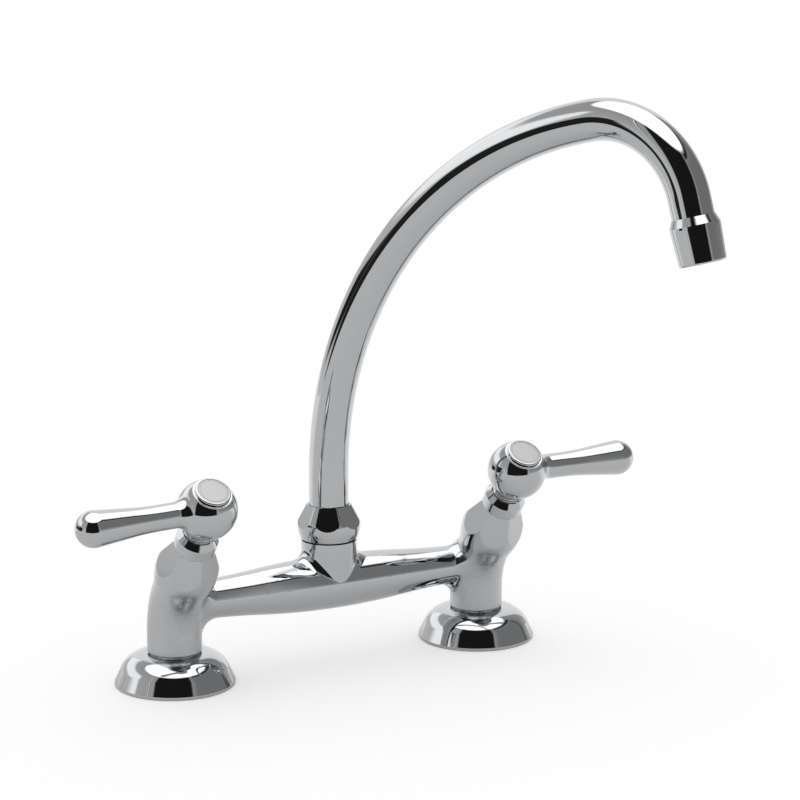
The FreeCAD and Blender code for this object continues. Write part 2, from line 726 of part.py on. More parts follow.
def ball():
    seat_height = math.sqrt(BALL_RADIUS ** 2 - CAP_SEAT_RADIUS ** 2)
    bottom_radius = math.sqrt(BALL_RADIUS ** 2 - BALL_BOTTOM ** 2)
    rounded = CAP_SEAT_RADIUS - CAP_SEAT_ROUND
    outline = Outline(0, HUB_BOTTOM)
    outline.line(HUB_RADIUS, HUB_BOTTOM)
    outline.line(HUB_RADIUS, BALL_BOTTOM)
    outline.line(bottom_radius, BALL_BOTTOM)
    outline.via(BALL_RADIUS, 0, CAP_SEAT_RADIUS, seat_height)
    outline.line(CAP_SEAT_RADIUS, CAP_SEAT - CAP_SEAT_ROUND)
    outline.around(rounded, CAP_SEAT - CAP_SEAT_ROUND, rounded, CAP_SEAT)
    outline.line(0, CAP_SEAT)
    return outline.turned()


def handle_bore():
    """The stem's socket, the screw's hole and the cap's recess."""
    socket = rod(STEM_RADIUS + SEAT_GAP, HUB_BOTTOM - BELOW, STEM_TOP + SEAT_GAP)
    hole = rod(SCREW_RADIUS + LOOSE_GAP, STEM_TOP, SCREW_SEAT + BELOW)
    well = rod(SCREW_HEAD_RADIUS + LOOSE_GAP, SCREW_SEAT, CAP_SEAT)
    recess = rod(CAP_SPIGOT_RADIUS + SEAT_GAP, CAP_SEAT - CAP_SPIGOT_LENGTH - SEAT_GAP, CAP_SEAT + BELOW)
    return socket.fuse([hole, well, recess])


def handle(side):
    grip = ball().fuse(lever(side))

    def at_root(box):
        outside = abs(box.Center.x) > LEVER_NECK_RADIUS
        small = box.ZLength < 2 * LEVER_NECK_RADIUS + BELOW and box.ZLength > LEVER_NECK_RADIUS
        return outside and small and max(abs(box.XMin), abs(box.XMax)) < BALL_RADIUS

    grip = grip.makeFillet(LEVER_FILLET, edges_where(grip, at_root)).cut(handle_bore())
    grip.rotate(CENTRE, Z_AXIS, LEVER_REST_TURNS[side])
    return grip


def handle_screw():
    head_top = SCREW_SEAT + SCREW_HEAD_HEIGHT
    outline = Outline(0, SCREW_SEAT - SCREW_LENGTH)
    outline.line(SCREW_RADIUS, SCREW_SEAT - SCREW_LENGTH)
    outline.line(SCREW_RADIUS, SCREW_SEAT)
    outline.line(SCREW_HEAD_RADIUS, SCREW_SEAT)
    outline.line(SCREW_HEAD_RADIUS, head_top)
    outline.line(0, head_top)
    return outline.turned().cut(hexagon_bar(SCREW_KEY, head_top - SCREW_KEY_DEPTH, head_top + BELOW))


def handle_cap():
    top = CAP_SEAT + CAP_HEIGHT
    floor = top - INDEX_RECESS - INDEX_HEIGHT
    outline = Outline(0, CAP_SEAT - CAP_SPIGOT_LENGTH)
    outline.line(CAP_SPIGOT_RADIUS, CAP_SEAT - CAP_SPIGOT_LENGTH)
    outline.line(CAP_SPIGOT_RADIUS, CAP_SEAT)
    outline.line(CAP_RADIUS, CAP_SEAT)
    outline.line(CAP_RADIUS, top - CAP_ROUND)
    outline.around(CAP_RADIUS - CAP_ROUND, top - CAP_ROUND, CAP_RADIUS - CAP_ROUND, top)
    outline.line(INDEX_RADIUS + SEAT_GAP, top)
    outline.line(INDEX_RADIUS + SEAT_GAP, floor)
    outline.line(0, floor)
    return outline.turned()


def index_disc():
    top = CAP_SEAT + CAP_HEIGHT - INDEX_RECESS
    return rod(INDEX_RADIUS, top - INDEX_HEIGHT, top)


def skirt_ring():
    inner = HUB_RADIUS + SEAT_GAP
    top = BALL_BOTTOM - SEAT_GAP
    outline = Outline(inner, top)
    outline.line(SKIRT_GROOVE_RADIUS, top)
    for height, radius in SKIRT_BEADS:
        outline.line(SKIRT_GROOVE_RADIUS, height + SKIRT_BEAD_HALF)
        outline.via(radius, height, SKIRT_GROOVE_RADIUS, height - SKIRT_BEAD_HALF)
    outline.line(SKIRT_GROOVE_RADIUS, SKIRT_BOTTOM)
    outline.line(inner, SKIRT_BOTTOM)
    return outline.turned()


# ---- Spout nut and spout ----

def fitting_flange_top():
    return SPIGOT_TOP + FACE_GAP + FITTING_FLANGE_HEIGHT


def glide_ring_top():
    return fitting_flange_top() + GLIDE_RING_HEIGHT


def nut_shoulder():
    """Height where the nut's upper cone meets its ball."""
    slope = math.tan(math.radians(NUT_CONE))
    foot = NUT_TOP_RADIUS + NUT_TOP * slope
    middle = foot * slope + NUT_BALL_HEIGHT
    square = 1 + slope ** 2
    rest = foot ** 2 + NUT_BALL_HEIGHT ** 2 - NUT_BALL_RADIUS ** 2
    return (middle - math.sqrt(middle ** 2 - square * rest)) / square


def spout_nut():
    low_radius = math.sqrt(NUT_BALL_RADIUS ** 2 - (NUT_BALL_RISE - NUT_EDGE) ** 2)
    shoulder = nut_shoulder()
    shoulder_radius = math.sqrt(NUT_BALL_RADIUS ** 2 - (shoulder - NUT_BALL_HEIGHT) ** 2)
    cavity = SPIGOT_RADIUS + SEAT_GAP
    hole = TUBE_RADIUS + LOOSE_GAP
    lip = glide_ring_top() + FACE_GAP
    outline = Outline(cavity, NUT_LOW)
    outline.line(low_radius - NUT_EDGE, NUT_LOW)
    outline.line(low_radius, NUT_LOW + NUT_EDGE)
    outline.around(0, NUT_BALL_HEIGHT, shoulder_radius, shoulder)
    outline.line(NUT_TOP_RADIUS, NUT_TOP)
    outline.line(hole, NUT_TOP)
    outline.line(hole, lip)
    outline.line(cavity, lip)
    turned = outline.turned()

    def at_shoulder(box):
        return abs(box.ZMin - shoulder) < SEAT_GAP and abs(box.ZMax - shoulder) < SEAT_GAP

    rounded = turned.makeFillet(NUT_SHOULDER_ROUND, edges_where(turned, at_shoulder))
    return rounded.common(hexagon_spire(NUT_FLAT_TOP, NUT_FLAT_SLOPE, NUT_LOW - BELOW, NUT_TOP))


def spout_fitting():
    """The turned fitting that carries the spout in the tee."""
    low = SOCKET_FLOOR + FITTING_FLOOR_GAP
    radius = SOCKET_RADIUS - RUNNING_GAP
    flange_top = fitting_flange_top()
    stub = TUBE_RADIUS - TUBE_WALL - SEAT_GAP
    outline = Outline(FITTING_BORE, low)
    outline.line(radius - FITTING_CHAMFER, low)
    outline.line(radius, low + FITTING_CHAMFER)
    outline.line(radius, SPIGOT_TOP + FACE_GAP)
    outline.line(SPIGOT_RADIUS - SEAT_GAP, SPIGOT_TOP + FACE_GAP)
    outline.line(SPIGOT_RADIUS - SEAT_GAP, flange_top)
    outline.line(stub, flange_top)
    outline.line(stub, flange_top + FITTING_STUB_HEIGHT)
    outline.line(FITTING_BORE, flange_top + FITTING_STUB_HEIGHT)
    fitting = outline.turned()
    for _, depth in SPOUT_ORING_DEPTHS:
        groove = oring_groove(SOCKET_RADIUS - SEAL_GAP, SPOUT_ORING_THICKNESS, SPIGOT_TOP - depth)
        fitting = fitting.cut(groove)
    return fitting


def spout_seal(depth):
    return oring(SOCKET_RADIUS - SEAL_GAP, SPOUT_ORING_THICKNESS, SPIGOT_TOP - depth)


def glide_ring():
    inner = TUBE_RADIUS + SEAT_GAP
    return ring(inner, SPIGOT_RADIUS - SEAT_GAP, fitting_flange_top(), glide_ring_top())


def spout_point(start, heading, radius, turn):
    """Where an arc of the spout ends, in the plane of reach (x) and height (z)."""
    first = math.radians(heading)
    last = math.radians(heading + turn)
    reach = radius * (math.cos(first) - math.cos(last))
    rise = radius * (math.sin(last) - math.sin(first))
    return start + Vector(reach, 0, rise)


def spout_direction(heading):
    turn = math.radians(heading)
    return Vector(math.sin(turn), 0, math.cos(turn))


def outlet_heading():
    return FULL_TURN / 2 - OUTLET_LEAN


def riser_top():
    return Vector(0, 0, fitting_flange_top() + RISER_LENGTH)


def spout_path():
    """The centreline: a riser, a wide sweep, a tighter crook and a straight outlet."""
    rise = riser_top()
    sweep_middle = spout_point(rise, 0, SWEEP_RADIUS, SWEEP_ANGLE / 2)
    sweep_end = spout_point(rise, 0, SWEEP_RADIUS, SWEEP_ANGLE)
    crook = outlet_heading() - SWEEP_ANGLE
    crook_middle = spout_point(sweep_end, SWEEP_ANGLE, CROOK_RADIUS, crook / 2)
    crook_end = spout_point(sweep_end, SWEEP_ANGLE, CROOK_RADIUS, crook)
    tail = crook_end + spout_direction(outlet_heading()) * (OUTLET_RUN + HOUSING_SLEEVE)
    return Part.Wire([
        Part.LineSegment(Vector(0, 0, fitting_flange_top()), rise).toShape(),
        Part.Arc(rise, sweep_middle, sweep_end).toShape(),
        Part.Arc(sweep_end, crook_middle, crook_end).toShape(),
        Part.LineSegment(crook_end, tail).toShape(),
    ])


def outlet_start():
    """Where the aerator's housing starts on the outlet's axis."""
    sweep_end = spout_point(riser_top(), 0, SWEEP_RADIUS, SWEEP_ANGLE)
    crook_end = spout_point(sweep_end, SWEEP_ANGLE, CROOK_RADIUS, outlet_heading() - SWEEP_ANGLE)
    return crook_end + spout_direction(outlet_heading()) * OUTLET_RUN


def on_spout(shape):
    """Swings a shape made in the XZ plane to the spout's rest direction."""
    placed = shape.copy()
    placed.rotate(CENTRE, Z_AXIS, SPOUT_SWING - RIGHT_ANGLE)
    return placed


def on_outlet(shape):
    """Moves a shape made along +Z from the housing's start onto the outlet's axis."""
    placed = shape.copy()
    placed.rotate(CENTRE, Y_AXIS, outlet_heading())
    placed.translate(outlet_start())
    return on_spout(placed)


def spout_tube():
    path = spout_path()
    foot = Vector(0, 0, fitting_flange_top())
    pipes = []
    for radius in (TUBE_RADIUS, TUBE_RADIUS - TUBE_WALL):
        section = Part.Wire(Part.makeCircle(radius, foot, Z_AXIS))
        pipes.append(path.makePipeShell([section], True, False))
    return on_spout(pipes[0].cut(pipes[1]))


# ---- Aerator, along +Z down the outlet's axis ----

def aerator_housing():
    ledge = HOUSING_SLEEVE
    thread = ledge + HOUSING_LEDGE
    end = HOUSING_LENGTH
    rounded = HOUSING_END_RADIUS - HOUSING_END_ROUND
    sleeve = TUBE_RADIUS + SEAT_GAP
    outline = Outline(sleeve, 0)
    outline.line(HOUSING_EDGE_RADIUS, 0)
    outline.line(HOUSING_RADIUS, HOUSING_CONE)
    outline.line(HOUSING_RADIUS, HOUSING_CONE + HOUSING_SHOULDER)
    outline.line(HOUSING_END_RADIUS, end - HOUSING_END_ROUND)
    outline.around(rounded, end - HOUSING_END_ROUND, rounded, end)
    outline.line(HOUSING_THREAD_RADIUS, end)
    outline.line(HOUSING_THREAD_RADIUS, thread)
    outline.line(HOUSING_LEDGE_RADIUS, thread)
    outline.line(HOUSING_LEDGE_RADIUS, ledge)
    outline.line(sleeve, ledge)
    return outline.turned()


def aerator_washer_low():
    return HOUSING_SLEEVE + HOUSING_LEDGE


def aerator_washer():
    outer = HOUSING_THREAD_RADIUS - SEAT_GAP
    low = aerator_washer_low()
    return ring(outer - AERATOR_WASHER_WIDTH, outer, low, low + AERATOR_WASHER_HEIGHT)


def aerator_insert():
    """A cup whose outer end is a screen of round holes."""
    outer = HOUSING_THREAD_RADIUS - SEAT_GAP
    low = aerator_washer_low() + AERATOR_WASHER_HEIGHT
    end = HOUSING_LENGTH - INSERT_RECESS
    cup = rod(outer, low, end).cut(rod(outer - INSERT_WALL, low - BELOW, end - INSERT_SCREEN))
    holes = []
    for circle in range(SCREEN_RINGS + 1):
        count = max(1, HEX_SIDES * circle)
        for index in range(count):
            hole = rod(SCREEN_HOLE_RADIUS, end - INSERT_SCREEN - BELOW, end + BELOW)
            hole.translate(Vector(circle * SCREEN_PITCH, 0, 0))
            hole.rotate(CENTRE, Z_AXIS, FULL_TURN / count * index)
            holes.append(hole)
    return cup.cut(holes)


def parts():
    """Every piece by name, each in its place."""
    made = {"bridge_body": bridge_body(), "spout_nut": spout_nut()}
    for name, side in SIDES:
        made[name + "_escutcheon"] = at_post(escutcheon(), side)
        made[name + "_escutcheon_gasket"] = at_post(gasket_ring(0), side)
        made[name + "_shank"] = at_post(shank(), side)
        made[name + "_rubber_washer"] = at_post(rubber_washer(), side)
        made[name + "_steel_washer"] = at_post(steel_washer(), side)
        made[name + "_locknut"] = at_post(locknut(), side)
        made[name + "_bonnet"] = on_valve(bonnet(), side)
        made[name + "_cartridge"] = on_valve(cartridge(), side)
        made[name + "_cartridge_seal"] = on_valve(cartridge_seal(), side)
        made[name + "_seat_seal"] = on_valve(seat_seal(), side)
        made[name + "_fixed_disc"] = on_valve(fixed_disc(), side)
        made[name + "_moving_disc"] = on_valve(moving_disc(), side)
        made[name + "_stem"] = on_valve(stem(), side)
        made[name + "_stem_seal"] = on_valve(stem_seal(), side)
        made[name + "_skirt_ring"] = on_valve(skirt_ring(), side)
        made[name + "_handle"] = on_valve(handle(side), side)
        made[name + "_handle_screw"] = on_valve(handle_screw(), side)
        made[name + "_handle_cap"] = on_valve(handle_cap(), side)
        made[name + "_index_disc"] = on_valve(index_disc(), side)
    made["spout_fitting"] = on_spout(spout_fitting())
    for name, depth in SPOUT_ORING_DEPTHS:
        made[name + "_spout_seal"] = on_spout(spout_seal(depth))
    made["spout_glide_ring"] = on_spout(glide_ring())
    made["spout_tube"] = spout_tube()
    made["aerator_housing"] = on_outlet(aerator_housing())
    made["aerator_washer"] = on_outlet(aerator_washer())
    made["aerator_insert"] = on_outlet(aerator_insert())
    return made


os.makedirs("parts", exist_ok=True)
for node, piece in parts().items():
    piece.exportStep("parts/" + node + ".step")
    print(node, len(piece.Solids), piece.isValid(), round(piece.Volume))
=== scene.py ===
import json
import math

import bmesh
import bpy
from mathutils import Matrix, Vector


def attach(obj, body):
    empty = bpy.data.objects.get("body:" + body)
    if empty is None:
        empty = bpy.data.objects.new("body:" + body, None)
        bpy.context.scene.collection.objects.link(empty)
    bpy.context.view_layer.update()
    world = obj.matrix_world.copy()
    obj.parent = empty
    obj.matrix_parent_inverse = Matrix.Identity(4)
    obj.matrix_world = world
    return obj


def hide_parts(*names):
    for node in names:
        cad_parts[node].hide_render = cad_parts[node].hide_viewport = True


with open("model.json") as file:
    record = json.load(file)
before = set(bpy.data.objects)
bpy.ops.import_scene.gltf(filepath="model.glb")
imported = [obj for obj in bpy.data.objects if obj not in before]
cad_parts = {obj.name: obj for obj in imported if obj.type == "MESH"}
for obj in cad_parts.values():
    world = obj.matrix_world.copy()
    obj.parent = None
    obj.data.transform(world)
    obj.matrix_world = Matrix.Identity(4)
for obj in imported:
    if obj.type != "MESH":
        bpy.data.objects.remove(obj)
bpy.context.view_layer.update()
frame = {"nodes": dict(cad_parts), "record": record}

bl_info = {
    "name": "Bridge Kitchen Faucet",
    "version": (1, 0, 0),
    "blender": (4, 5, 0),
    "location": "View3D > Sidebar > Faucet",
    "description": "Dresses the packed bridge faucet in its finishes and sets a plain studio round it",
    "category": "Object",
}

MM = 0.001
SIDES = ("left", "right")
JOINTS = {joint["name"]: joint for joint in frame["record"]["behaviour"]["joints"]}
VALVE_TILT = math.radians(35)  # forward lean of both valves
WAVE_PERIOD = math.tau / 20    # what a Wave node of scale 1 repeats after

# Where the posts' softer chrome starts and ends, in mm.
HAZE_INNER, HAZE_OUTER = 78, 90  # aside from the middle: none, and all of it
HAZE_LOW, HAZE_HIGH = 60, 78     # above the deck: all of it, and none

TUBE_SIDES = 96
TUBE_STEPS = (8, 110, 90, 6)     # along the riser, the sweep, the crook and the outlet

# The shank is rolled up from a grid of size 1.
SHANK_SIDES, SHANK_ROWS = 64, 400
SHANK_GRID = 0.498               # the part of the grid, either way from its middle, that is the shank
SHANK_GRID_SHUT = 0.4985         # past this the grid's last row is drawn in to the bore
THREAD_CREST, THREAD_ROOT = 0.07, 0.43  # in turns, where the crest ends and the root begins

SCREEN = {"Radius": 11.5 * MM, "Rim": 1.5 * MM, "Rim Height": 13.0 * MM, "Height": 6.0 * MM,
          "Pitch": 2.1 * MM, "Wall": 0.35 * MM}
SCREEN_CELLS = 13                # cells along each side of the sheet that the screen is cut from
SCREEN_AHEAD = 12.8 * MM         # from the tube's end to the middle of the screen

PLATE_STEPS = 96
PLATE_OUTLINE = (  # (radius, height above the ball's centre) in mm, from the under side to the face
    (0, 14.66), (8.9, 14.66), (9.15, 14.85), (9.15, 15.2), (8.95, 15.42),
    (8.15, 15.44), (8.05, 15.3), (7.75, 15.3), (7.65, 15.45),  # the engraved border line
    (4.0, 15.49), (0, 15.5))

LOOKED_AT = Vector((48.29, 0, 154.2)) * MM
FLOOR_FRONT, FLOOR_BACK, FLOOR_LEFT, FLOOR_RIGHT = -0.72, 3.0, -1.2, 3.0
FLOOR_FADE = 0.25   # metres behind the faucet where reflections show the floor's glow in full
FLOOR_GLOW = 0.3    # the backdrop's light on the floor
TENT_LIGHT = 0.9    # what lights the object
BACKDROP = 1.0      # what the camera sees behind it
FAR_WALL = 0.72     # how bright the right wall is beside the left one

# What reflections show and nothing else does, in degrees round from the photograph's view and up from
# the horizon. The directions are fixed in the world, so they stay where they are in other views.
SIDE_WALL = ((-90, 0.78), (0, 0.74), (22, 0.55), (40, 0.5), (50, 0.45))  # (height, brightness)
STUDIO_PANELS = (  # (left, right, low, high, softness, brightness)
    (46, 130, 2, 46, 8, 0.24),             # the right wall's shaded upper half
    (-158, -80, 14, 34, 3, 1.35),          # the white panel on the left
    (-92, -64, -14, 12, 1.5, 0.02),        # the dark belt under it
    (-120, -92, -4, 6, 1.5, 0.02),
    (-52.2, -51.2, -25, 48, 0.4, 1.2),     # the lit edge of the left wall's seam
    (-51.0, -50.0, -25, 48, 0.4, 0.06),    # the seam's shadow
    (118, 121, -25, 40, 0.6, 0.08),        # the right wall's seam
    (48, 126, 45, 49.5, 0.8, 0.03),        # the unlit gap between the right wall and the light box
    (-190, -158, -90, 90, 3, 1.0),         # the white backdrop, left and right of its middle
    (150, 190, -90, 90, 3, 1.0),
    (-190, 190, 52, 100, 2, 1.9),          # the light box overhead
    (-40.5, 40.5, -100, 52, 2.5, 0.012),   # the unlit room behind the camera
)


def linear(hex_colour):
    """A hex colour, as a painter would name it, turned to the light values that shaders take."""
    channels = [int(hex_colour[i:i + 2], 16) / 255 for i in (1, 3, 5)]
    return [c / 12.92 if c <= 0.04045 else ((c + 0.055) / 1.055) ** 2.4 for c in channels]


def add(tree, kind, inputs=None, **settings):
    """Adds one node with its settings, values and links."""
    made = tree.nodes.new(kind)
    for name, value in settings.items():
        setattr(made, name, value)
    for name, value in (inputs or {}).items():
        if isinstance(value, bpy.types.NodeSocket):
            tree.links.new(value, made.inputs[name])
        else:
            made.inputs[name].default_value = value
    return made


def ball_centre(side):
    return Vector(JOINTS[side + "_handle_turn"]["pos_m"])


def post_axis(side):
    return Vector((ball_centre(side).x, 0, 0))


# ---- Sizes and colours that a user would change ----

class FAUCET_PG_finish(bpy.types.PropertyGroup):
    chrome: bpy.props.FloatVectorProperty(
        name="Chrome", description="Tint of the bright chrome plate", subtype="COLOR", size=3,
        min=0, max=1, default=linear("#C6C8CA"))
    brass: bpy.props.FloatVectorProperty(
        name="Brass", description="Tint of the bare turned brass under the deck", subtype="COLOR", size=3,
        min=0, max=1, default=linear("#D9B66B"))
    zinc: bpy.props.FloatVectorProperty(
        name="Zinc", description="Tint of the zinc-plated washers and screws", subtype="COLOR", size=3,
        min=0, max=1, default=linear("#B9BEC4"))
    rubber: bpy.props.FloatVectorProperty(
        name="Rubber", description="Colour of the moulded seals and gaskets", subtype="COLOR", size=3,
        min=0, max=1, default=linear("#1E1E1F"))


class FAUCET_PG_tube(bpy.types.PropertyGroup):
    radius: bpy.props.FloatProperty(
        name="Tube Radius", description="Outer radius of the spout's tube",
        subtype="DISTANCE", unit="LENGTH", default=11.75 * MM)
    wall: bpy.props.FloatProperty(
        name="Tube Wall", description="Thickness of the tube's wall",
        subtype="DISTANCE", unit="LENGTH", default=1.4 * MM)
    foot: bpy.props.FloatProperty(
        name="Tube Foot", description="Height where the tube starts, inside the nut",
        subtype="DISTANCE", unit="LENGTH", default=85.7 * MM)
    riser_top: bpy.props.FloatProperty(
        name="Riser Top", description="Height where the tube starts to bend",
        subtype="DISTANCE", unit="LENGTH", default=114.1 * MM)
    sweep_radius: bpy.props.FloatProperty(
        name="Sweep Radius", description="Bend radius of the tube's wide sweep",
        subtype="DISTANCE", unit="LENGTH", default=227 * MM)
    sweep_angle: bpy.props.FloatProperty(
        name="Sweep Angle", description="Turn of the wide sweep", subtype="ANGLE", default=math.radians(78.4))
    crook_radius: bpy.props.FloatProperty(
        name="Crook Radius", description="Bend radius of the crook above the outlet",
        subtype="DISTANCE", unit="LENGTH", default=52.8 * MM)
    outlet_lean: bpy.props.FloatProperty(
        name="Outlet Lean", description="How far the outlet leans outwards, from straight down",
        subtype="ANGLE", default=math.radians(15.2))
    outlet_run: bpy.props.FloatProperty(
        name="Outlet Run", description="Straight tube after the crook, with what the aerator covers",
        subtype="DISTANCE", unit="LENGTH", default=18.8 * MM)
    swing: bpy.props.FloatProperty(
        name="Swing", description="Turn of the spout from straight ahead towards the right",
        subtype="ANGLE", default=math.radians(25.35))


class FAUCET_PG_thread(bpy.types.PropertyGroup):
    radius: bpy.props.FloatProperty(
        name="Shank Radius", description="Radius over the thread's crests",
        subtype="DISTANCE", unit="LENGTH", default=10.4 * MM)
    bore: bpy.props.FloatProperty(
        name="Shank Bore", description="Radius of the waterway up the shank",
        subtype="DISTANCE", unit="LENGTH", default=6.5 * MM)
    pitch: bpy.props.FloatProperty(
        name="Thread Pitch", description="Distance between two turns of the half inch pipe thread",
        subtype="DISTANCE", unit="LENGTH", default=1.814 * MM)
    depth: bpy.props.FloatProperty(
        name="Thread Depth", description="From the thread's crest to its root",
        subtype="DISTANCE", unit="LENGTH", default=0.85 * MM)
    low: bpy.props.FloatProperty(
        name="Shank Foot", description="Height of the shank's lower end",
        subtype="DISTANCE", unit="LENGTH", default=-62 * MM)
    top: bpy.props.FloatProperty(
        name="Shank Top", description="Height of the shank's upper end, inside the post",
        subtype="DISTANCE", unit="LENGTH", default=14 * MM)


class FAUCET_PG_studio(bpy.types.PropertyGroup):
    azimuth: bpy.props.FloatProperty(
        name="Camera Azimuth", description="Turn of the camera about the faucet, from straight ahead",
        subtype="ANGLE", default=math.radians(-28.58))
    elevation: bpy.props.FloatProperty(
        name="Camera Elevation", description="Height of the camera above the deck, as an angle",
        subtype="ANGLE", default=math.radians(11.88))
    distance: bpy.props.FloatProperty(
        name="Camera Distance", description="From the point looked at to the camera",
        subtype="DISTANCE", unit="LENGTH", default=1.71165)
    lens: bpy.props.FloatProperty(
        name="Lens", description="Focal length for a 36 mm wide sensor", subtype="DISTANCE_CAMERA",
        default=128.52)


# ---- Materials ----

def new_material(name):
    made = bpy.data.materials.new(name)
    made.use_nodes = True
    made.node_tree.nodes.clear()
    return made


def plated_chrome(name, tint, wave_mm, wave_depth, haze, post_haze=0.0):
    """Bright chrome plate on buffed brass: a cool, nearly perfect mirror whose reflections run a little
    wavy where the metal under it was polished by hand, with a faint uneven haze from the buffing wheel.
    The wheel reaches the hollows of the posts badly, so post_haze leaves them softer."""
    made = new_material(name)
    tree = made.node_tree
    place = add(tree, "ShaderNodeTexCoord")
    # hand-polished waviness, wave_mm from crest to crest
    wave = add(tree, "ShaderNodeTexNoise", {
        "Vector": place.outputs["Object"], "Scale": 1 / (wave_mm * MM), "Detail": 1.0, "Roughness": 0.4})
    bump = add(tree, "ShaderNodeBump", {
        "Strength": 1.0, "Distance": wave_depth * MM, "Height": wave.outputs["Fac"]})
    # buffing haze: real marks are microns wide, drawn 0.6 mm coarse so that they show
    patch = add(tree, "ShaderNodeTexNoise", {
        "Vector": place.outputs["Object"], "Scale": 1 / (14 * MM), "Detail": 3.0, "Roughness": 0.6})
    mark = add(tree, "ShaderNodeTexNoise", {
        "Vector": place.outputs["Object"], "Scale": 1 / (0.6 * MM), "Detail": 2.0, "Roughness": 0.7})
    both = add(tree, "ShaderNodeMath", {0: patch.outputs["Fac"], 1: mark.outputs["Fac"]},
               operation="MULTIPLY")
    rough = add(tree, "ShaderNodeMapRange", {
        "Value": both.outputs[0], "From Min": 0.12, "From Max": 0.42, "To Min": 0.02, "To Max": haze})
    if post_haze:
        parts = add(tree, "ShaderNodeSeparateXYZ", {0: place.outputs["Object"]})
        aside = add(tree, "ShaderNodeMath", {0: parts.outputs["X"]}, operation="ABSOLUTE")
        near = add(tree, "ShaderNodeMapRange", {
            "Value": aside.outputs[0], "From Min": HAZE_INNER * MM, "From Max": HAZE_OUTER * MM,
            "To Max": post_haze})
        low = add(tree, "ShaderNodeMapRange", {
            "Value": parts.outputs["Z"], "From Min": HAZE_LOW * MM, "From Max": HAZE_HIGH * MM,
            "To Min": 1.0, "To Max": 0.0})
        hollow = add(tree, "ShaderNodeMath", {0: near.outputs[0], 1: low.outputs[0]}, operation="MULTIPLY")
        rough = add(tree, "ShaderNodeMath", {0: rough.outputs[0], 1: hollow.outputs[0]}, operation="ADD")
    shader = add(tree, "ShaderNodeBsdfPrincipled", {
        "Base Color": (*tint, 1), "Metallic": 1.0, "Roughness": rough.outputs[0],
        "Normal": bump.outputs["Normal"]})
    add(tree, "ShaderNodeOutputMaterial", {"Surface": shader.outputs["BSDF"]})
    return made


def spun_chrome(name, tint, centre, tilt, groove_mm, depth, haze):
    """Bright chrome plate on lathe-turned brass: a mirror with the barely visible rings that the lathe and
    the polishing mop leave round the part's own axis."""
    made = new_material(name)
    tree = made.node_tree
    place = add(tree, "ShaderNodeTexCoord")
    own = add(tree, "ShaderNodeMapping", {
        "Vector": place.outputs["Object"], "Location": centre, "Rotation": (tilt, 0, 0)},
        vector_type="TEXTURE")
    # lathe rings, drawn ten times coarser than the real 0.05 mm feed
    rings = add(tree, "ShaderNodeTexWave", {
        "Vector": own.outputs["Vector"], "Scale": WAVE_PERIOD / (groove_mm * MM), "Distortion": 0.6,
        "Detail": 1.0, "Detail Scale": 1.5}, wave_type="BANDS", bands_direction="Z")
    bump = add(tree, "ShaderNodeBump", {
        "Strength": 1.0, "Distance": depth * MM, "Height": rings.outputs["Fac"]})
    patch = add(tree, "ShaderNodeTexNoise", {
        "Vector": place.outputs["Object"], "Scale": 1 / (11 * MM), "Detail": 3.0, "Roughness": 0.6})
    rough = add(tree, "ShaderNodeMapRange", {
        "Value": patch.outputs["Fac"], "From Min": 0.3, "From Max": 0.7, "To Min": 0.02, "To Max": haze})
    shader = add(tree, "ShaderNodeBsdfPrincipled", {
        "Base Color": (*tint, 1), "Metallic": 1.0, "Roughness": rough.outputs[0],
        "Normal": bump.outputs["Normal"]})
    add(tree, "ShaderNodeOutputMaterial", {"Surface": shader.outputs["BSDF"]})
    return made


def satin_disc(name, side):
    """Satin nickel-silver index plate, turned on its face: pale grey, with soft rings about its middle that
    fan the light out."""
    made = new_material(name)
    tree = made.node_tree
    place = add(tree, "ShaderNodeTexCoord")
    own = add(tree, "ShaderNodeMapping", {
        "Vector": place.outputs["Object"], "Location": ball_centre(side), "Rotation": (VALVE_TILT, 0, 0)},
        vector_type="TEXTURE")
    flat = add(tree, "ShaderNodeVectorMath", {0: own.outputs["Vector"], 1: (1, 1, 0)}, operation="MULTIPLY")
    reach = add(tree, "ShaderNodeVectorMath", {0: flat.outputs["Vector"]}, operation="LENGTH")
    # facing rings, 0.05 mm in the real plate and 0.35 mm here
    turns = add(tree, "ShaderNodeMath", {0: reach.outputs["Value"], 1: math.tau / (0.35 * MM)},
                operation="MULTIPLY")
    wave = add(tree, "ShaderNodeMath", {0: turns.outputs[0]}, operation="SINE")
    grain = add(tree, "ShaderNodeTexNoise", {
        "Vector": own.outputs["Vector"], "Scale": 1 / (0.5 * MM), "Detail": 3.0})
    height = add(tree, "ShaderNodeMath", {0: wave.outputs[0], 1: grain.outputs["Fac"]}, operation="ADD")
    bump = add(tree, "ShaderNodeBump", {"Strength": 0.5, "Distance": 0.006 * MM, "Height": height.outputs[0]})
    tone = add(tree, "ShaderNodeMapRange", {
        "Value": grain.outputs["Fac"], "From Min": 0.3, "From Max": 0.7, "To Min": 0.0, "To Max": 1.0})
    colour = add(tree, "ShaderNodeMix", {
        "Factor": tone.outputs[0], 6: (*linear("#B2B2B2"), 1), 7: (*linear("#C4C4C3"), 1)}, data_type="RGBA")
    shader = add(tree, "ShaderNodeBsdfPrincipled", {
        "Base Color": colour.outputs[2], "Metallic": 0.55, "Roughness": 0.42,
        "Normal": bump.outputs["Normal"]})
    add(tree, "ShaderNodeOutputMaterial", {"Surface": shader.outputs["BSDF"]})
    return made


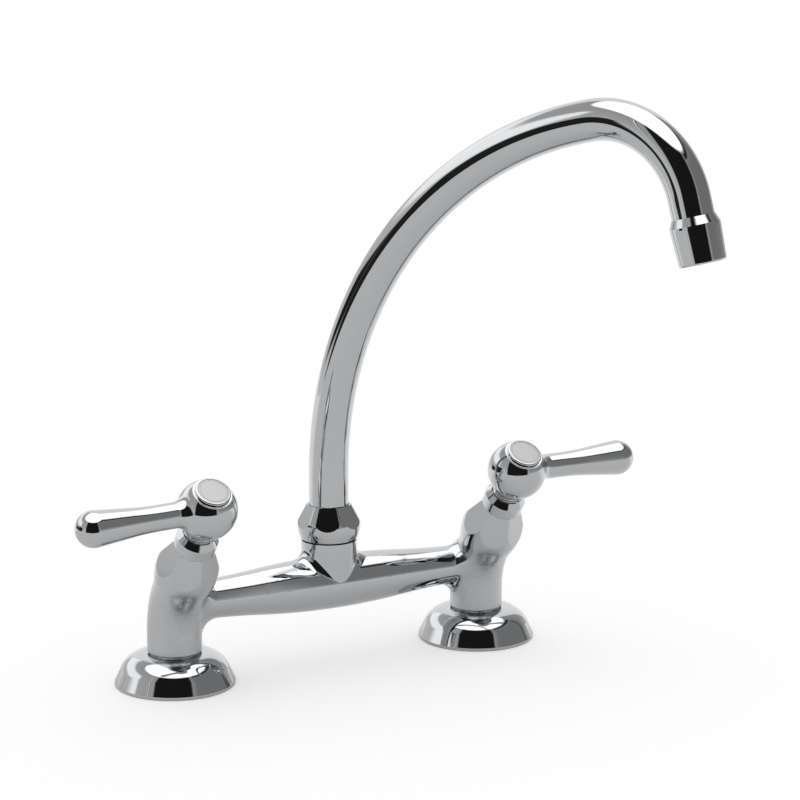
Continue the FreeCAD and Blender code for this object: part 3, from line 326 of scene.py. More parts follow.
def turned_brass(name, tint):
    """Bare free-cutting brass straight off the lathe: warm yellow, with fine tool rings along the part and
    the duller brown patches that handling leaves."""
    made = new_material(name)
    tree = made.node_tree
    place = add(tree, "ShaderNodeTexCoord")
    # tool rings, 0.1 mm feed drawn 0.4 mm coarse
    rings = add(tree, "ShaderNodeTexWave", {
        "Vector": place.outputs["Object"], "Scale": WAVE_PERIOD / (0.4 * MM), "Distortion": 0.8,
        "Detail": 2.0}, wave_type="BANDS", bands_direction="Z")
    bump = add(tree, "ShaderNodeBump", {
        "Strength": 0.6, "Distance": 0.02 * MM, "Height": rings.outputs["Fac"]})
    patch = add(tree, "ShaderNodeTexNoise", {
        "Vector": place.outputs["Object"], "Scale": 1 / (9 * MM), "Detail": 5.0, "Roughness": 0.65})
    tone = add(tree, "ShaderNodeMapRange", {
        "Value": patch.outputs["Fac"], "From Min": 0.35, "From Max": 0.72})
    colour = add(tree, "ShaderNodeMix", {
        "Factor": tone.outputs[0], 6: (*tint, 1), 7: (*linear("#A98445"), 1)}, data_type="RGBA")
    rough = add(tree, "ShaderNodeMapRange", {
        "Value": patch.outputs["Fac"], "From Min": 0.3, "From Max": 0.75, "To Min": 0.2, "To Max": 0.42})
    shader = add(tree, "ShaderNodeBsdfPrincipled", {
        "Base Color": colour.outputs[2], "Metallic": 1.0, "Roughness": rough.outputs[0],
        "Normal": bump.outputs["Normal"]})
    add(tree, "ShaderNodeOutputMaterial", {"Surface": shader.outputs["BSDF"]})
    return made


def zinc_plate(name, tint):
    """Bright zinc plate on stamped steel: bluish grey and slightly cloudy, with scuffs from the barrel that
    it was plated in."""
    made = new_material(name)
    tree = made.node_tree
    place = add(tree, "ShaderNodeTexCoord")
    cloud = add(tree, "ShaderNodeTexNoise", {
        "Vector": place.outputs["Object"], "Scale": 1 / (6 * MM), "Detail": 4.0, "Roughness": 0.6})
    # barrel scuffs 1 mm apart
    scuff = add(tree, "ShaderNodeTexVoronoi", {
        "Vector": place.outputs["Object"], "Scale": 1 / (1.0 * MM)}, feature="DISTANCE_TO_EDGE")
    bump = add(tree, "ShaderNodeBump", {
        "Strength": 0.4, "Distance": 0.02 * MM, "Height": scuff.outputs["Distance"]})
    tone = add(tree, "ShaderNodeMapRange", {"Value": cloud.outputs["Fac"], "From Min": 0.3, "From Max": 0.7})
    colour = add(tree, "ShaderNodeMix", {
        "Factor": tone.outputs[0], 6: (*tint, 1), 7: (*linear("#9DA4AE"), 1)}, data_type="RGBA")
    rough = add(tree, "ShaderNodeMapRange", {
        "Value": cloud.outputs["Fac"], "From Min": 0.3, "From Max": 0.7, "To Min": 0.24, "To Max": 0.4})
    shader = add(tree, "ShaderNodeBsdfPrincipled", {
        "Base Color": colour.outputs[2], "Metallic": 1.0, "Roughness": rough.outputs[0],
        "Normal": bump.outputs["Normal"]})
    add(tree, "ShaderNodeOutputMaterial", {"Surface": shader.outputs["BSDF"]})
    return made


def moulded(name, light, dark, rough_range, grain_mm, grain_depth):
    """A moulded or pressed non-metal: even colour with a faint cloud of its fillers and the fine grain of
    the mould's wall, which breaks its shine up."""
    made = new_material(name)
    tree = made.node_tree
    place = add(tree, "ShaderNodeTexCoord")
    cloud = add(tree, "ShaderNodeTexNoise", {
        "Vector": place.outputs["Object"], "Scale": 1 / (5 * MM), "Detail": 4.0, "Roughness": 0.6})
    grain = add(tree, "ShaderNodeTexNoise", {
        "Vector": place.outputs["Object"], "Scale": 1 / (grain_mm * MM), "Detail": 2.0})
    bump = add(tree, "ShaderNodeBump", {
        "Strength": 0.6, "Distance": grain_depth * MM, "Height": grain.outputs["Fac"]})
    tone = add(tree, "ShaderNodeMapRange", {"Value": cloud.outputs["Fac"], "From Min": 0.3, "From Max": 0.7})
    colour = add(tree, "ShaderNodeMix", {
        "Factor": tone.outputs[0], 6: (*light, 1), 7: (*dark, 1)}, data_type="RGBA")
    rough = add(tree, "ShaderNodeMapRange", {
        "Value": grain.outputs["Fac"], "From Min": 0.3, "From Max": 0.7, "To Min": rough_range[0],
        "To Max": rough_range[1]})
    shader = add(tree, "ShaderNodeBsdfPrincipled", {
        "Base Color": colour.outputs[2], "Roughness": rough.outputs[0], "Normal": bump.outputs["Normal"]})
    add(tree, "ShaderNodeOutputMaterial", {"Surface": shader.outputs["BSDF"]})
    return made


# ---- Making pieces ----

def from_tree(name, base, tree, inputs):
    """The plain mesh that a Geometry Nodes tree makes from a base mesh, as a new object at the origin."""
    carrier = bpy.data.objects.new(name, base)
    bpy.context.scene.collection.objects.link(carrier)
    modifier = carrier.modifiers.new(name, "NODES")
    modifier.node_group = tree
    for socket in tree.interface.items_tree:
        if socket.item_type == "SOCKET" and socket.in_out == "INPUT" and socket.name in inputs:
            modifier[socket.identifier] = inputs[socket.name]
    evaluated = carrier.evaluated_get(bpy.context.evaluated_depsgraph_get())
    mesh = bpy.data.meshes.new_from_object(evaluated)
    carrier.modifiers.remove(modifier)
    carrier.data = mesh
    if not len(mesh.polygons):
        raise RuntimeError(name + " came out of its tree with no faces")
    return carrier


def tree_with(name, inputs):
    """An empty Geometry Nodes tree with named inputs, and its two end nodes."""
    tree = bpy.data.node_groups.new(name, "GeometryNodeTree")
    tree.interface.new_socket("Geometry", in_out="INPUT", socket_type="NodeSocketGeometry")
    tree.interface.new_socket("Geometry", in_out="OUTPUT", socket_type="NodeSocketGeometry")
    for label, kind in inputs:
        tree.interface.new_socket(label, in_out="INPUT", socket_type=kind)
    return tree, add(tree, "NodeGroupInput"), add(tree, "NodeGroupOutput")


def close_tree(tree, out, geometry, material, smooth=True):
    """Ends a tree in smooth or flat shading, real geometry and its material."""
    shaded = add(tree, "GeometryNodeSetShadeSmooth", {"Geometry": geometry, "Shade Smooth": smooth})
    real = add(tree, "GeometryNodeRealizeInstances", {"Geometry": shaded.outputs[0]})
    painted = add(tree, "GeometryNodeSetMaterial", {"Geometry": real.outputs[0], "Material": material})
    tree.links.new(painted.outputs[0], out.inputs["Geometry"])


def sharpen(piece, degrees):
    """Keeps edges steeper than an angle crisp and the rest smooth."""
    shape = bmesh.new()
    shape.from_mesh(piece.data)
    for edge in shape.edges:
        if edge.is_manifold and edge.calc_face_angle(0) > math.radians(degrees):
            edge.smooth = False
    shape.to_mesh(piece.data)
    shape.free()


def lathe(name, profile, steps, place, material):
    """A closed turned piece from (radius, height) points in metres that start and end on the axis."""
    shape = bmesh.new()
    rings = []
    for radius, height in profile:
        if radius == 0:
            rings.append([shape.verts.new((0, 0, height))] * steps)
        else:
            turns = [math.tau * step / steps for step in range(steps)]
            spots = [(radius * math.cos(turn), radius * math.sin(turn), height) for turn in turns]
            rings.append([shape.verts.new(spot) for spot in spots])
    for low, high in zip(rings, rings[1:]):
        for step in range(steps):
            after = (step + 1) % steps
            corners = [low[step], low[after], high[after], high[step]]
            face = shape.faces.new(list(dict.fromkeys(corners)))
            face.smooth = True
    bmesh.ops.recalc_face_normals(shape, faces=shape.faces)
    mesh = bpy.data.meshes.new(name)
    shape.to_mesh(mesh)
    shape.free()
    mesh.transform(place)
    mesh.materials.append(material)
    piece = bpy.data.objects.new(name, mesh)
    bpy.context.scene.collection.objects.link(piece)
    return piece


def spout_centreline(tube):
    """Points from the tube's foot to its outlet, close enough together that its bends look smooth."""
    crook_turn = math.pi - tube.outlet_lean - tube.sweep_angle
    runs = ((tube.riser_top - tube.foot, None, 0), (None, tube.sweep_radius, tube.sweep_angle),
            (None, tube.crook_radius, crook_turn), (tube.outlet_run, None, 0))
    out, up, heading = 0.0, tube.foot, 0.0
    flat = [(out, up)]
    for (length, radius, turn), steps in zip(runs, TUBE_STEPS):
        for _ in range(steps):
            chord = length / steps if radius is None else 2 * radius * math.sin(turn / steps / 2)
            heading += turn / steps / 2
            out += chord * math.sin(heading)
            up += chord * math.cos(heading)
            heading += turn / steps / 2
            flat.append((out, up))
    ahead, aside = -math.cos(tube.swing), math.sin(tube.swing)
    return [(out * aside, out * ahead, up) for out, up in flat]


# ---- Operators ----

FINISHES = {}


class FAUCET_OT_finishes(bpy.types.Operator):
    """Gives each carried-over part its finish"""
    bl_idname = "faucet.finishes"
    bl_label = "Finishes"

    def execute(self, context):
        finish = context.scene.faucet_finish
        left = ball_centre("left")
        rubber = tuple(finish.rubber)
        FINISHES.update({
            "chrome_body": plated_chrome("chrome_on_buffed_casting", finish.chrome, 26, 0.05, 0.06, 0.24),
            "chrome_handle": plated_chrome("chrome_on_buffed_forging", finish.chrome, 18, 0.012, 0.05),
            "chrome_spout": plated_chrome("chrome_on_polished_tube", finish.chrome, 40, 0.04, 0.045),
            "chrome_nut": spun_chrome("chrome_on_turned_nut", finish.chrome, (0, 0, 0), 0, 0.5, 0.0012, 0.05),
            "chrome_escutcheon": plated_chrome("chrome_on_spun_dome", finish.chrome, 22, 0.015, 0.05),
            "chrome_trim": spun_chrome(
                "chrome_on_turned_trim", finish.chrome, left, VALVE_TILT, 0.5, 0.0012, 0.05),
            "chrome_aerator": plated_chrome("chrome_on_turned_aerator", finish.chrome, 20, 0.006, 0.05),
            "turned_brass": turned_brass("turned_bare_brass", finish.brass),
            "zinc_steel": zinc_plate("zinc_plated_stamped_steel", finish.zinc),
            "black_rubber": moulded(
                "moulded_black_rubber", rubber, linear("#2B2B2D"), (0.5, 0.7), 0.35, 0.02),
            "white_ceramic": moulded(
                "lapped_white_alumina", linear("#F0EEE8"), linear("#E6E3DA"), (0.12, 0.2), 0.3, 0.002),
            "white_nylon": moulded(
                "moulded_white_nylon", linear("#EDEBE6"), linear("#E0DDD5"), (0.35, 0.5), 0.4, 0.01),
            "left_index": satin_disc("satin_nickel_index_left", "left"),
            "right_index": satin_disc("satin_nickel_index_right", "right"),
        })
        for row in frame["record"]["subparts"]:
            node, slot = row["node"], row["material_slot"]
            if slot == "satin_index":
                slot = node.split("_")[0] + "_index"
            for place in frame["nodes"][node].material_slots:
                place.material = FINISHES[slot]
        return {"FINISHED"}


class FAUCET_OT_tube(bpy.types.Operator):
    """Sweeps the spout's tube along its riser, wide sweep, crook and outlet"""
    bl_idname = "faucet.tube"
    bl_label = "Spout Tube"

    def execute(self, context):
        tube = context.scene.faucet_tube
        base = bpy.data.meshes.new("spout_centreline")
        points = spout_centreline(tube)
        base.from_pydata(points, [(i, i + 1) for i in range(len(points) - 1)], [])
        tree, given, out = tree_with("swept_tube", (
            ("Radius", "NodeSocketFloat"), ("Sides", "NodeSocketInt")))
        line = add(tree, "GeometryNodeMeshToCurve", {"Mesh": given.outputs["Geometry"]})
        section = add(tree, "GeometryNodeCurvePrimitiveCircle", {
            "Radius": given.outputs["Radius"], "Resolution": given.outputs["Sides"]})
        swept = add(tree, "GeometryNodeCurveToMesh", {
            "Curve": line.outputs["Curve"], "Profile Curve": section.outputs["Curve"]})
        close_tree(tree, out, swept.outputs["Mesh"], FINISHES["chrome_spout"])
        piece = from_tree("swept_spout_tube", base, tree, {"Radius": tube.radius, "Sides": TUBE_SIDES})
        wall = piece.modifiers.new("wall", "SOLIDIFY")
        wall.thickness = tube.wall
        wall.offset = -1
        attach(piece, "spout")
        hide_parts("spout_tube")
        return {"FINISHED"}


class FAUCET_OT_shanks(bpy.types.Operator):
    """Cuts the pipe thread round both shanks"""
    bl_idname = "faucet.shanks"
    bl_label = "Threaded Shanks"

    def execute(self, context):
        thread = context.scene.faucet_thread
        tree = self.thread_tree()
        for side in SIDES:
            piece = from_tree(side + "_threaded_shank", bpy.data.meshes.new("shank"), tree, {
                "Radius": thread.radius, "Bore": thread.bore, "Pitch": thread.pitch, "Depth": thread.depth,
                "Length": thread.top - thread.low, "Sides": SHANK_SIDES, "Rows": SHANK_ROWS})
            piece.data.transform(Matrix.Translation(post_axis(side) + Vector((0, 0, thread.low))))
            sharpen(piece, 50)
            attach(piece, "bridge")
            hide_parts(side + "_shank")
        return {"FINISHED"}

    def thread_tree(self):
        tree, given, out = tree_with("threaded_shank", (
            ("Radius", "NodeSocketFloat"), ("Bore", "NodeSocketFloat"), ("Pitch", "NodeSocketFloat"),
            ("Depth", "NodeSocketFloat"), ("Length", "NodeSocketFloat"), ("Sides", "NodeSocketInt"),
            ("Rows", "NodeSocketInt")))
        columns = add(tree, "ShaderNodeMath", {0: given.outputs["Sides"], 1: 1.0}, operation="ADD")
        grid = add(tree, "GeometryNodeMeshGrid", {
            "Size X": 1.0, "Size Y": 1.0, "Vertices X": columns.outputs[0],
            "Vertices Y": given.outputs["Rows"]})
        position = add(tree, "GeometryNodeInputPosition")
        parts = add(tree, "ShaderNodeSeparateXYZ", {0: position.outputs[0]})
        turn = add(tree, "ShaderNodeMath", {0: parts.outputs["X"], 1: math.tau}, operation="MULTIPLY")
        # the grid reaches a little past both ends, and what lies past them is drawn in to the bore
        reach = add(tree, "ShaderNodeMapRange", {
            "Value": parts.outputs["Y"], "From Min": -SHANK_GRID, "From Max": SHANK_GRID,
            "To Max": given.outputs["Length"]})
        past = add(tree, "ShaderNodeMath", {0: parts.outputs["Y"]}, operation="ABSOLUTE")
        ended = add(tree, "ShaderNodeMath", {0: past.outputs[0], 1: SHANK_GRID_SHUT},
                    operation="GREATER_THAN")
        turns = add(tree, "ShaderNodeMath", {0: reach.outputs[0], 1: given.outputs["Pitch"]},
                    operation="DIVIDE")
        phase = add(tree, "ShaderNodeMath", {0: turns.outputs[0], 1: parts.outputs["X"]},
                    operation="SUBTRACT")
        wave = add(tree, "ShaderNodeMath", {0: phase.outputs[0], 1: 0.5}, operation="PINGPONG")
        flank = add(tree, "ShaderNodeMapRange", {
            "Value": wave.outputs[0], "From Min": THREAD_CREST, "From Max": THREAD_ROOT})
        # the thread runs out over its last turn at either end
        left = add(tree, "ShaderNodeMath", {0: given.outputs["Length"], 1: reach.outputs[0]},
                   operation="SUBTRACT")
        near = add(tree, "ShaderNodeMath", {0: left.outputs[0], 1: reach.outputs[0]}, operation="MINIMUM")
        fade = add(tree, "ShaderNodeMapRange", {
            "Value": near.outputs[0], "From Max": given.outputs["Pitch"], "To Min": 1.0, "To Max": 0.0})
        cut = add(tree, "ShaderNodeMath", {0: flank.outputs[0], 1: fade.outputs[0]}, operation="MAXIMUM")
        deep = add(tree, "ShaderNodeMath", {0: cut.outputs[0], 1: given.outputs["Depth"]},
                   operation="MULTIPLY")
        crest = add(tree, "ShaderNodeMath", {0: given.outputs["Radius"], 1: deep.outputs[0]},
                    operation="SUBTRACT")
        radius = add(tree, "ShaderNodeMix", {
            0: ended.outputs[0], 2: crest.outputs[0], 3: given.outputs["Bore"]}, data_type="FLOAT")
        east = add(tree, "ShaderNodeMath", {0: turn.outputs[0]}, operation="COSINE")
        north = add(tree, "ShaderNodeMath", {0: turn.outputs[0]}, operation="SINE")
        x = add(tree, "ShaderNodeMath", {0: east.outputs[0], 1: radius.outputs[0]}, operation="MULTIPLY")
        y = add(tree, "ShaderNodeMath", {0: north.outputs[0], 1: radius.outputs[0]}, operation="MULTIPLY")
        spot = add(tree, "ShaderNodeCombineXYZ", {
            "X": x.outputs[0], "Y": y.outputs[0], "Z": reach.outputs[0]})
        outside = add(tree, "GeometryNodeSetPosition", {
            "Geometry": grid.outputs["Mesh"], "Position": spot.outputs[0]})
        bore = add(tree, "GeometryNodeMeshCylinder", {
            "Vertices": given.outputs["Sides"], "Radius": given.outputs["Bore"],
            "Depth": given.outputs["Length"]}, fill_type="NONE")
        half = add(tree, "ShaderNodeMath", {0: given.outputs["Length"], 1: 0.5}, operation="MULTIPLY")
        rise = add(tree, "ShaderNodeCombineXYZ", {"Z": half.outputs[0]})
        lifted = add(tree, "GeometryNodeTransform", {
            "Geometry": bore.outputs["Mesh"], "Translation": rise.outputs[0]})
        inward = add(tree, "GeometryNodeFlipFaces", {"Mesh": lifted.outputs[0]})
        joined = add(tree, "GeometryNodeJoinGeometry")
        tree.links.new(outside.outputs[0], joined.inputs[0])
        tree.links.new(inward.outputs[0], joined.inputs[0])
        merged = add(tree, "GeometryNodeMergeByDistance", {
            "Geometry": joined.outputs[0], "Distance": 0.01 * MM})
        close_tree(tree, out, merged.outputs[0], FINISHES["turned_brass"])
        return tree


class FAUCET_OT_screen(bpy.types.Operator):
    """Builds the aerator's honeycomb screen"""
    bl_idname = "faucet.screen"
    bl_label = "Aerator Screen"

    def execute(self, context):
        tube = context.scene.faucet_tube
        tree = self.honeycomb_tree()
        piece = from_tree("honeycomb_screen", bpy.data.meshes.new("screen"), tree, SCREEN)
        heading = math.pi - tube.outlet_lean
        low = Vector(spout_centreline(tube)[-1])
        down = Matrix.Rotation(tube.swing - math.pi / 2, 4, "Z") @ Matrix.Rotation(heading, 4, "Y")
        piece.data.transform(Matrix.Translation(low) @ down @ Matrix.Translation((0, 0, SCREEN_AHEAD)))
        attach(piece, "spout")
        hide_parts("aerator_insert")
        return {"FINISHED"}

    def honeycomb_tree(self):
        tree, given, out = tree_with("honeycomb_screen", (
            ("Radius", "NodeSocketFloat"), ("Rim", "NodeSocketFloat"), ("Rim Height", "NodeSocketFloat"),
            ("Height", "NodeSocketFloat"), ("Pitch", "NodeSocketFloat"), ("Wall", "NodeSocketFloat")))
        width = add(tree, "ShaderNodeMath", {0: given.outputs["Pitch"], 1: float(SCREEN_CELLS - 1)},
                    operation="MULTIPLY")
        depth = add(tree, "ShaderNodeMath", {0: width.outputs[0], 1: math.sqrt(0.75)}, operation="MULTIPLY")
        grid = add(tree, "GeometryNodeMeshGrid", {
            "Size X": width.outputs[0], "Size Y": depth.outputs[0], "Vertices X": SCREEN_CELLS,
            "Vertices Y": SCREEN_CELLS})
        # every other row is pushed along by half a cell
        index = add(tree, "GeometryNodeInputIndex")
        row = add(tree, "ShaderNodeMath", {0: index.outputs[0], 1: float(SCREEN_CELLS)}, operation="MODULO")
        odd = add(tree, "ShaderNodeMath", {0: row.outputs[0], 1: 2.0}, operation="MODULO")
        push = add(tree, "ShaderNodeMath", {0: odd.outputs[0], 1: given.outputs["Pitch"]},
                   operation="MULTIPLY")
        half = add(tree, "ShaderNodeMath", {0: push.outputs[0], 1: 0.5}, operation="MULTIPLY")
        shift = add(tree, "ShaderNodeCombineXYZ", {"X": half.outputs[0]})
        moved = add(tree, "GeometryNodeSetPosition", {
            "Geometry": grid.outputs["Mesh"], "Offset": shift.outputs[0]})
        position = add(tree, "GeometryNodeInputPosition")
        reach = add(tree, "ShaderNodeVectorMath", {0: position.outputs[0]}, operation="LENGTH")
        inside = add(tree, "ShaderNodeMath", {0: given.outputs["Radius"], 1: given.outputs["Pitch"]},
                     operation="SUBTRACT")
        far = add(tree, "ShaderNodeMath", {0: reach.outputs["Value"], 1: inside.outputs[0]},
                  operation="GREATER_THAN")
        kept = add(tree, "GeometryNodeDeleteGeometry", {
            "Geometry": moved.outputs[0], "Selection": far.outputs[0]})
        side = add(tree, "ShaderNodeMath", {0: given.outputs["Pitch"], 1: 1 / math.sqrt(3)},
                   operation="MULTIPLY")
        hexagon = add(tree, "GeometryNodeCurvePrimitiveCircle", {"Radius": side.outputs[0], "Resolution": 6})
        point_up = add(tree, "GeometryNodeTransform", {
            "Geometry": hexagon.outputs["Curve"], "Rotation": (0, 0, math.pi / 6)})
        strip = add(tree, "GeometryNodeCurvePrimitiveQuadrilateral", {
            "Width": given.outputs["Wall"], "Height": given.outputs["Height"]})
        cell = add(tree, "GeometryNodeCurveToMesh", {
            "Curve": point_up.outputs[0], "Profile Curve": strip.outputs[0]})
        cells = add(tree, "GeometryNodeInstanceOnPoints", {
            "Points": kept.outputs[0], "Instance": cell.outputs[0]})
        rim_line = add(tree, "ShaderNodeMath", {0: given.outputs["Rim"], 1: 0.5}, operation="MULTIPLY")
        rim_at = add(tree, "ShaderNodeMath", {0: given.outputs["Radius"], 1: rim_line.outputs[0]},
                     operation="SUBTRACT")
        circle = add(tree, "GeometryNodeCurvePrimitiveCircle", {
            "Radius": rim_at.outputs[0], "Resolution": 96})
        band = add(tree, "GeometryNodeCurvePrimitiveQuadrilateral", {
            "Width": given.outputs["Rim"], "Height": given.outputs["Rim Height"]})
        rim = add(tree, "GeometryNodeCurveToMesh", {
            "Curve": circle.outputs["Curve"], "Profile Curve": band.outputs[0]})
        # the rim reaches further up into the housing than the cells do
        longer = add(tree, "ShaderNodeMath", {0: given.outputs["Height"], 1: given.outputs["Rim Height"]},
                     operation="SUBTRACT")
        inwards = add(tree, "ShaderNodeMath", {0: longer.outputs[0], 1: 0.5}, operation="MULTIPLY")
        lift = add(tree, "ShaderNodeCombineXYZ", {"Z": inwards.outputs[0]})
        raised = add(tree, "GeometryNodeTransform", {
            "Geometry": rim.outputs[0], "Translation": lift.outputs[0]})
        joined = add(tree, "GeometryNodeJoinGeometry")
        tree.links.new(cells.outputs[0], joined.inputs[0])
        tree.links.new(raised.outputs[0], joined.inputs[0])
        close_tree(tree, out, joined.outputs[0], FINISHES["white_nylon"], smooth=False)
        return tree


class FAUCET_OT_index_plates(bpy.types.Operator):
    """Turns the plain index plates, with their engraved border line"""
    bl_idname = "faucet.index_plates"
    bl_label = "Index Plates"

    def execute(self, context):
        profile = [(radius * MM, height * MM) for radius, height in PLATE_OUTLINE]
        for side in SIDES:
            place = Matrix.Translation(ball_centre(side)) @ Matrix.Rotation(VALVE_TILT, 4, "X")
            piece = lathe(side + "_index_plate", profile, PLATE_STEPS, place, FINISHES[side + "_index"])
            sharpen(piece, 25)
            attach(piece, side + "_valve_handle")
            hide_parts(side + "_index_disc")
        return {"FINISHED"}


class FAUCET_OT_stage(bpy.types.Operator):
    """Builds the pale floor, the soft light and the camera"""
    bl_idname = "faucet.stage"
    bl_label = "Studio"

    def execute(self, context):
        scene = context.scene
        studio = scene.faucet_studio
        scene.view_settings.view_transform = "Standard"
        turn, rise = studio.azimuth, studio.elevation
        back = Vector((math.sin(turn) * math.cos(rise), -math.cos(turn) * math.cos(rise), math.sin(rise)))
        camera = bpy.data.objects.new("camera", bpy.data.cameras.new("camera"))
        camera.data.sensor_width = 36
        camera.data.lens = studio.lens
        camera.data.clip_end = 50
        camera.location = LOOKED_AT + back * studio.distance
        camera.rotation_euler = (-back).to_track_quat("-Z", "Y").to_euler()
        scene.collection.objects.link(camera)
        scene.camera = camera
        self.floor(scene, turn)
        self.world(scene, turn)
        return {"FINISHED"}

    def floor(self, scene, turn):
        mesh = bpy.data.meshes.new("floor")
        spin = Matrix.Rotation(turn, 4, "Z")
        flat = ((FLOOR_LEFT, FLOOR_FRONT, 0), (FLOOR_RIGHT, FLOOR_FRONT, 0), (FLOOR_RIGHT, FLOOR_BACK, 0),
                (FLOOR_LEFT, FLOOR_BACK, 0))
        corners = [spin @ Vector(corner) for corner in flat]
        mesh.from_pydata(corners, [], [(0, 1, 2, 3)])
        floor = bpy.data.objects.new("floor", mesh)
        scene.collection.objects.link(floor)
        made = new_material("pale_studio_floor")
        tree = made.node_tree
        path = add(tree, "ShaderNodeLightPath")
        place = add(tree, "ShaderNodeTexCoord")
        own = add(tree, "ShaderNodeMapping", {
            "Vector": place.outputs["Object"], "Rotation": (0, 0, turn)}, vector_type="TEXTURE")
        parts = add(tree, "ShaderNodeSeparateXYZ", {0: own.outputs["Vector"]})
        # the backdrop's light: the camera sees it on all of the floor, the metal only behind the faucet
        behind = add(tree, "ShaderNodeMapRange", {
            "Value": parts.outputs["Y"], "From Min": 0.0, "From Max": FLOOR_FADE},
            interpolation_type="SMOOTHSTEP")
        lit = add(tree, "ShaderNodeMath", {0: path.outputs["Is Glossy Ray"], 1: behind.outputs[0]},
                  operation="MULTIPLY")
        seen = add(tree, "ShaderNodeMath", {0: path.outputs["Is Camera Ray"], 1: lit.outputs[0]},
                   operation="MAXIMUM")
        diffuse = add(tree, "ShaderNodeBsdfDiffuse", {"Color": (*linear("#E6E6E6"), 1)})
        glow = add(tree, "ShaderNodeEmission", {"Color": (1, 1, 1, 1), "Strength": FLOOR_GLOW})
        both = add(tree, "ShaderNodeAddShader", {0: diffuse.outputs[0], 1: glow.outputs[0]})
        mixed = add(tree, "ShaderNodeMixShader", {
            0: seen.outputs[0], 1: diffuse.outputs[0], 2: both.outputs[0]})
        add(tree, "ShaderNodeOutputMaterial", {"Surface": mixed.outputs[0]})
        mesh.materials.append(made)

    def world(self, scene, turn):
        """An even white tent. Only reflections see its panels and the unlit gap in front of the faucet."""
        world = bpy.data.worlds.new("studio")
        scene.world = world
        world.use_nodes = True
        tree = world.node_tree
        tree.nodes.clear()
        coordinate = add(tree, "ShaderNodeTexCoord")
        turned = add(tree, "ShaderNodeVectorRotate", {
            "Vector": coordinate.outputs["Generated"], "Angle": -turn}, rotation_type="Z_AXIS")
        parts = add(tree, "ShaderNodeSeparateXYZ", {0: turned.outputs[0]})
        ahead = add(tree, "ShaderNodeMath", {0: parts.outputs["Y"], 1: -1.0}, operation="MULTIPLY")
        azimuth = add(tree, "ShaderNodeMath", {0: parts.outputs["X"], 1: ahead.outputs[0]},
                      operation="ARCTAN2")
        height = add(tree, "ShaderNodeMath", {0: parts.outputs["Z"]}, operation="ARCSINE")
        # the side walls darken towards their unlit tops, and the right one is further from the lights
        rise = add(tree, "ShaderNodeMapRange", {
            "Value": height.outputs[0], "From Min": -math.pi / 2, "From Max": math.pi / 2})
        wall = add(tree, "ShaderNodeValToRGB", {"Fac": rise.outputs[0]})
        for _ in SIDE_WALL[2:]:  # a new ramp has two stops already
            wall.color_ramp.elements.new(0.5)
        for element, (degrees, value) in zip(wall.color_ramp.elements, SIDE_WALL):
            element.position = degrees / 180 + 0.5
            element.color = (value, value, value, 1)
        across = add(tree, "ShaderNodeMapRange", {
            "Value": azimuth.outputs[0], "From Min": math.radians(-90), "From Max": math.radians(90),
            "To Min": 1.0, "To Max": FAR_WALL})
        level = add(tree, "ShaderNodeMath", {0: wall.outputs["Color"], 1: across.outputs[0]},
                    operation="MULTIPLY")
        for left, right, low, high, soft, value in STUDIO_PANELS:
            mask = None
            for source, first, last in ((azimuth, left, right), (height, low, high)):
                rising = add(tree, "ShaderNodeMapRange", {
                    "Value": source.outputs[0], "From Min": math.radians(first - soft),
                    "From Max": math.radians(first + soft)}, interpolation_type="SMOOTHSTEP")
                falling = add(tree, "ShaderNodeMapRange", {
                    "Value": source.outputs[0], "From Min": math.radians(last - soft),
                    "From Max": math.radians(last + soft), "To Min": 1.0, "To Max": 0.0},
                    interpolation_type="SMOOTHSTEP")
                window = add(tree, "ShaderNodeMath", {0: rising.outputs[0], 1: falling.outputs[0]},
                             operation="MULTIPLY")
                if mask:
                    window = add(tree, "ShaderNodeMath", {0: window.outputs[0], 1: mask.outputs[0]},
                                 operation="MULTIPLY")
                mask = window
            level = add(tree, "ShaderNodeMix", {0: mask.outputs[0], 2: level.outputs[0], 3: value},
                        data_type="FLOAT")
        path = add(tree, "ShaderNodeLightPath")
        pattern = add(tree, "ShaderNodeBackground", {"Color": (1, 1, 1, 1), "Strength": level.outputs[0]})
        plain = add(tree, "ShaderNodeBackground", {"Color": (1, 1, 1, 1), "Strength": TENT_LIGHT})
        white = add(tree, "ShaderNodeBackground", {"Color": (1, 1, 1, 1), "Strength": BACKDROP})
        first = add(tree, "ShaderNodeMixShader", {
            0: path.outputs["Is Glossy Ray"], 1: plain.outputs[0], 2: pattern.outputs[0]})
        second = add(tree, "ShaderNodeMixShader", {
            0: path.outputs["Is Camera Ray"], 1: first.outputs[0], 2: white.outputs[0]})
        add(tree, "ShaderNodeOutputWorld", {"Surface": second.outputs[0]})


class FAUCET_PT_panel(bpy.types.Panel):
    bl_label = "Faucet"
    bl_idname = "FAUCET_PT_panel"
    bl_space_type = "VIEW_3D"
    bl_region_type = "UI"
    bl_category = "Faucet"

    def draw(self, context):
        for step in STEPS:
            self.layout.operator(step.bl_idname)


STEPS = (FAUCET_OT_finishes, FAUCET_OT_tube, FAUCET_OT_shanks, FAUCET_OT_screen, FAUCET_OT_index_plates,
         FAUCET_OT_stage)
SETTINGS = {"faucet_finish": FAUCET_PG_finish, "faucet_tube": FAUCET_PG_tube,
            "faucet_thread": FAUCET_PG_thread, "faucet_studio": FAUCET_PG_studio}


def register():
    for made in (*SETTINGS.values(), *STEPS, FAUCET_PT_panel):
        bpy.utils.register_class(made)
    for name, group in SETTINGS.items():
        setattr(bpy.types.Scene, name, bpy.props.PointerProperty(type=group))


def unregister():
    for name in SETTINGS:
        delattr(bpy.types.Scene, name)
    for made in reversed((*SETTINGS.values(), *STEPS, FAUCET_PT_panel)):
        bpy.utils.unregister_class(made)


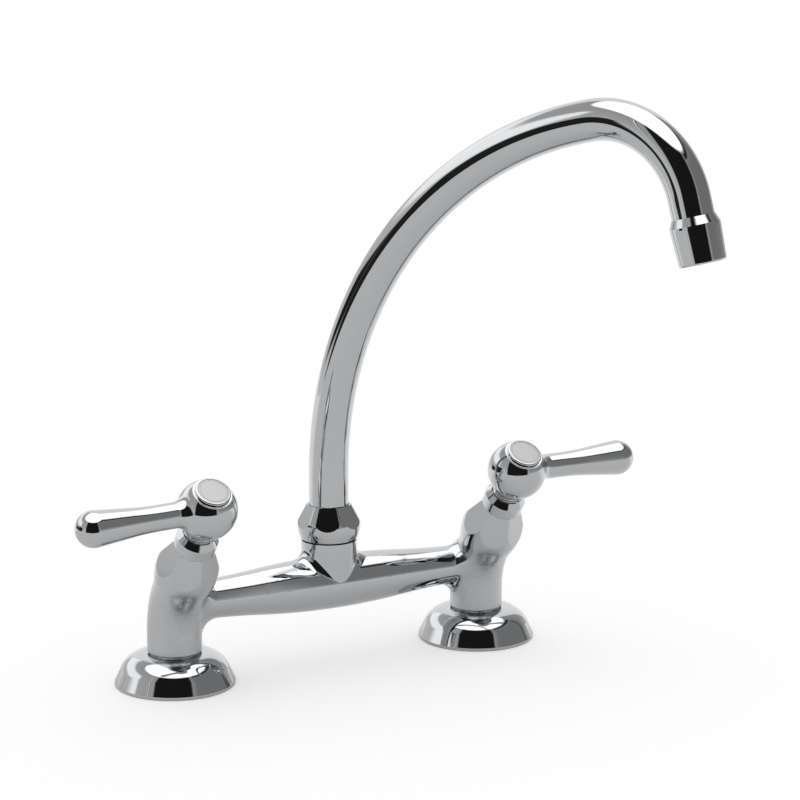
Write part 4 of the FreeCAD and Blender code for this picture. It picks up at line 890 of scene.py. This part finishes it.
def main():
    register()
    bpy.ops.faucet.finishes()
    bpy.ops.faucet.tube()
    bpy.ops.faucet.shanks()
    bpy.ops.faucet.screen()
    bpy.ops.faucet.index_plates()
    bpy.ops.faucet.stage()


if __name__ == "__main__":
    main()
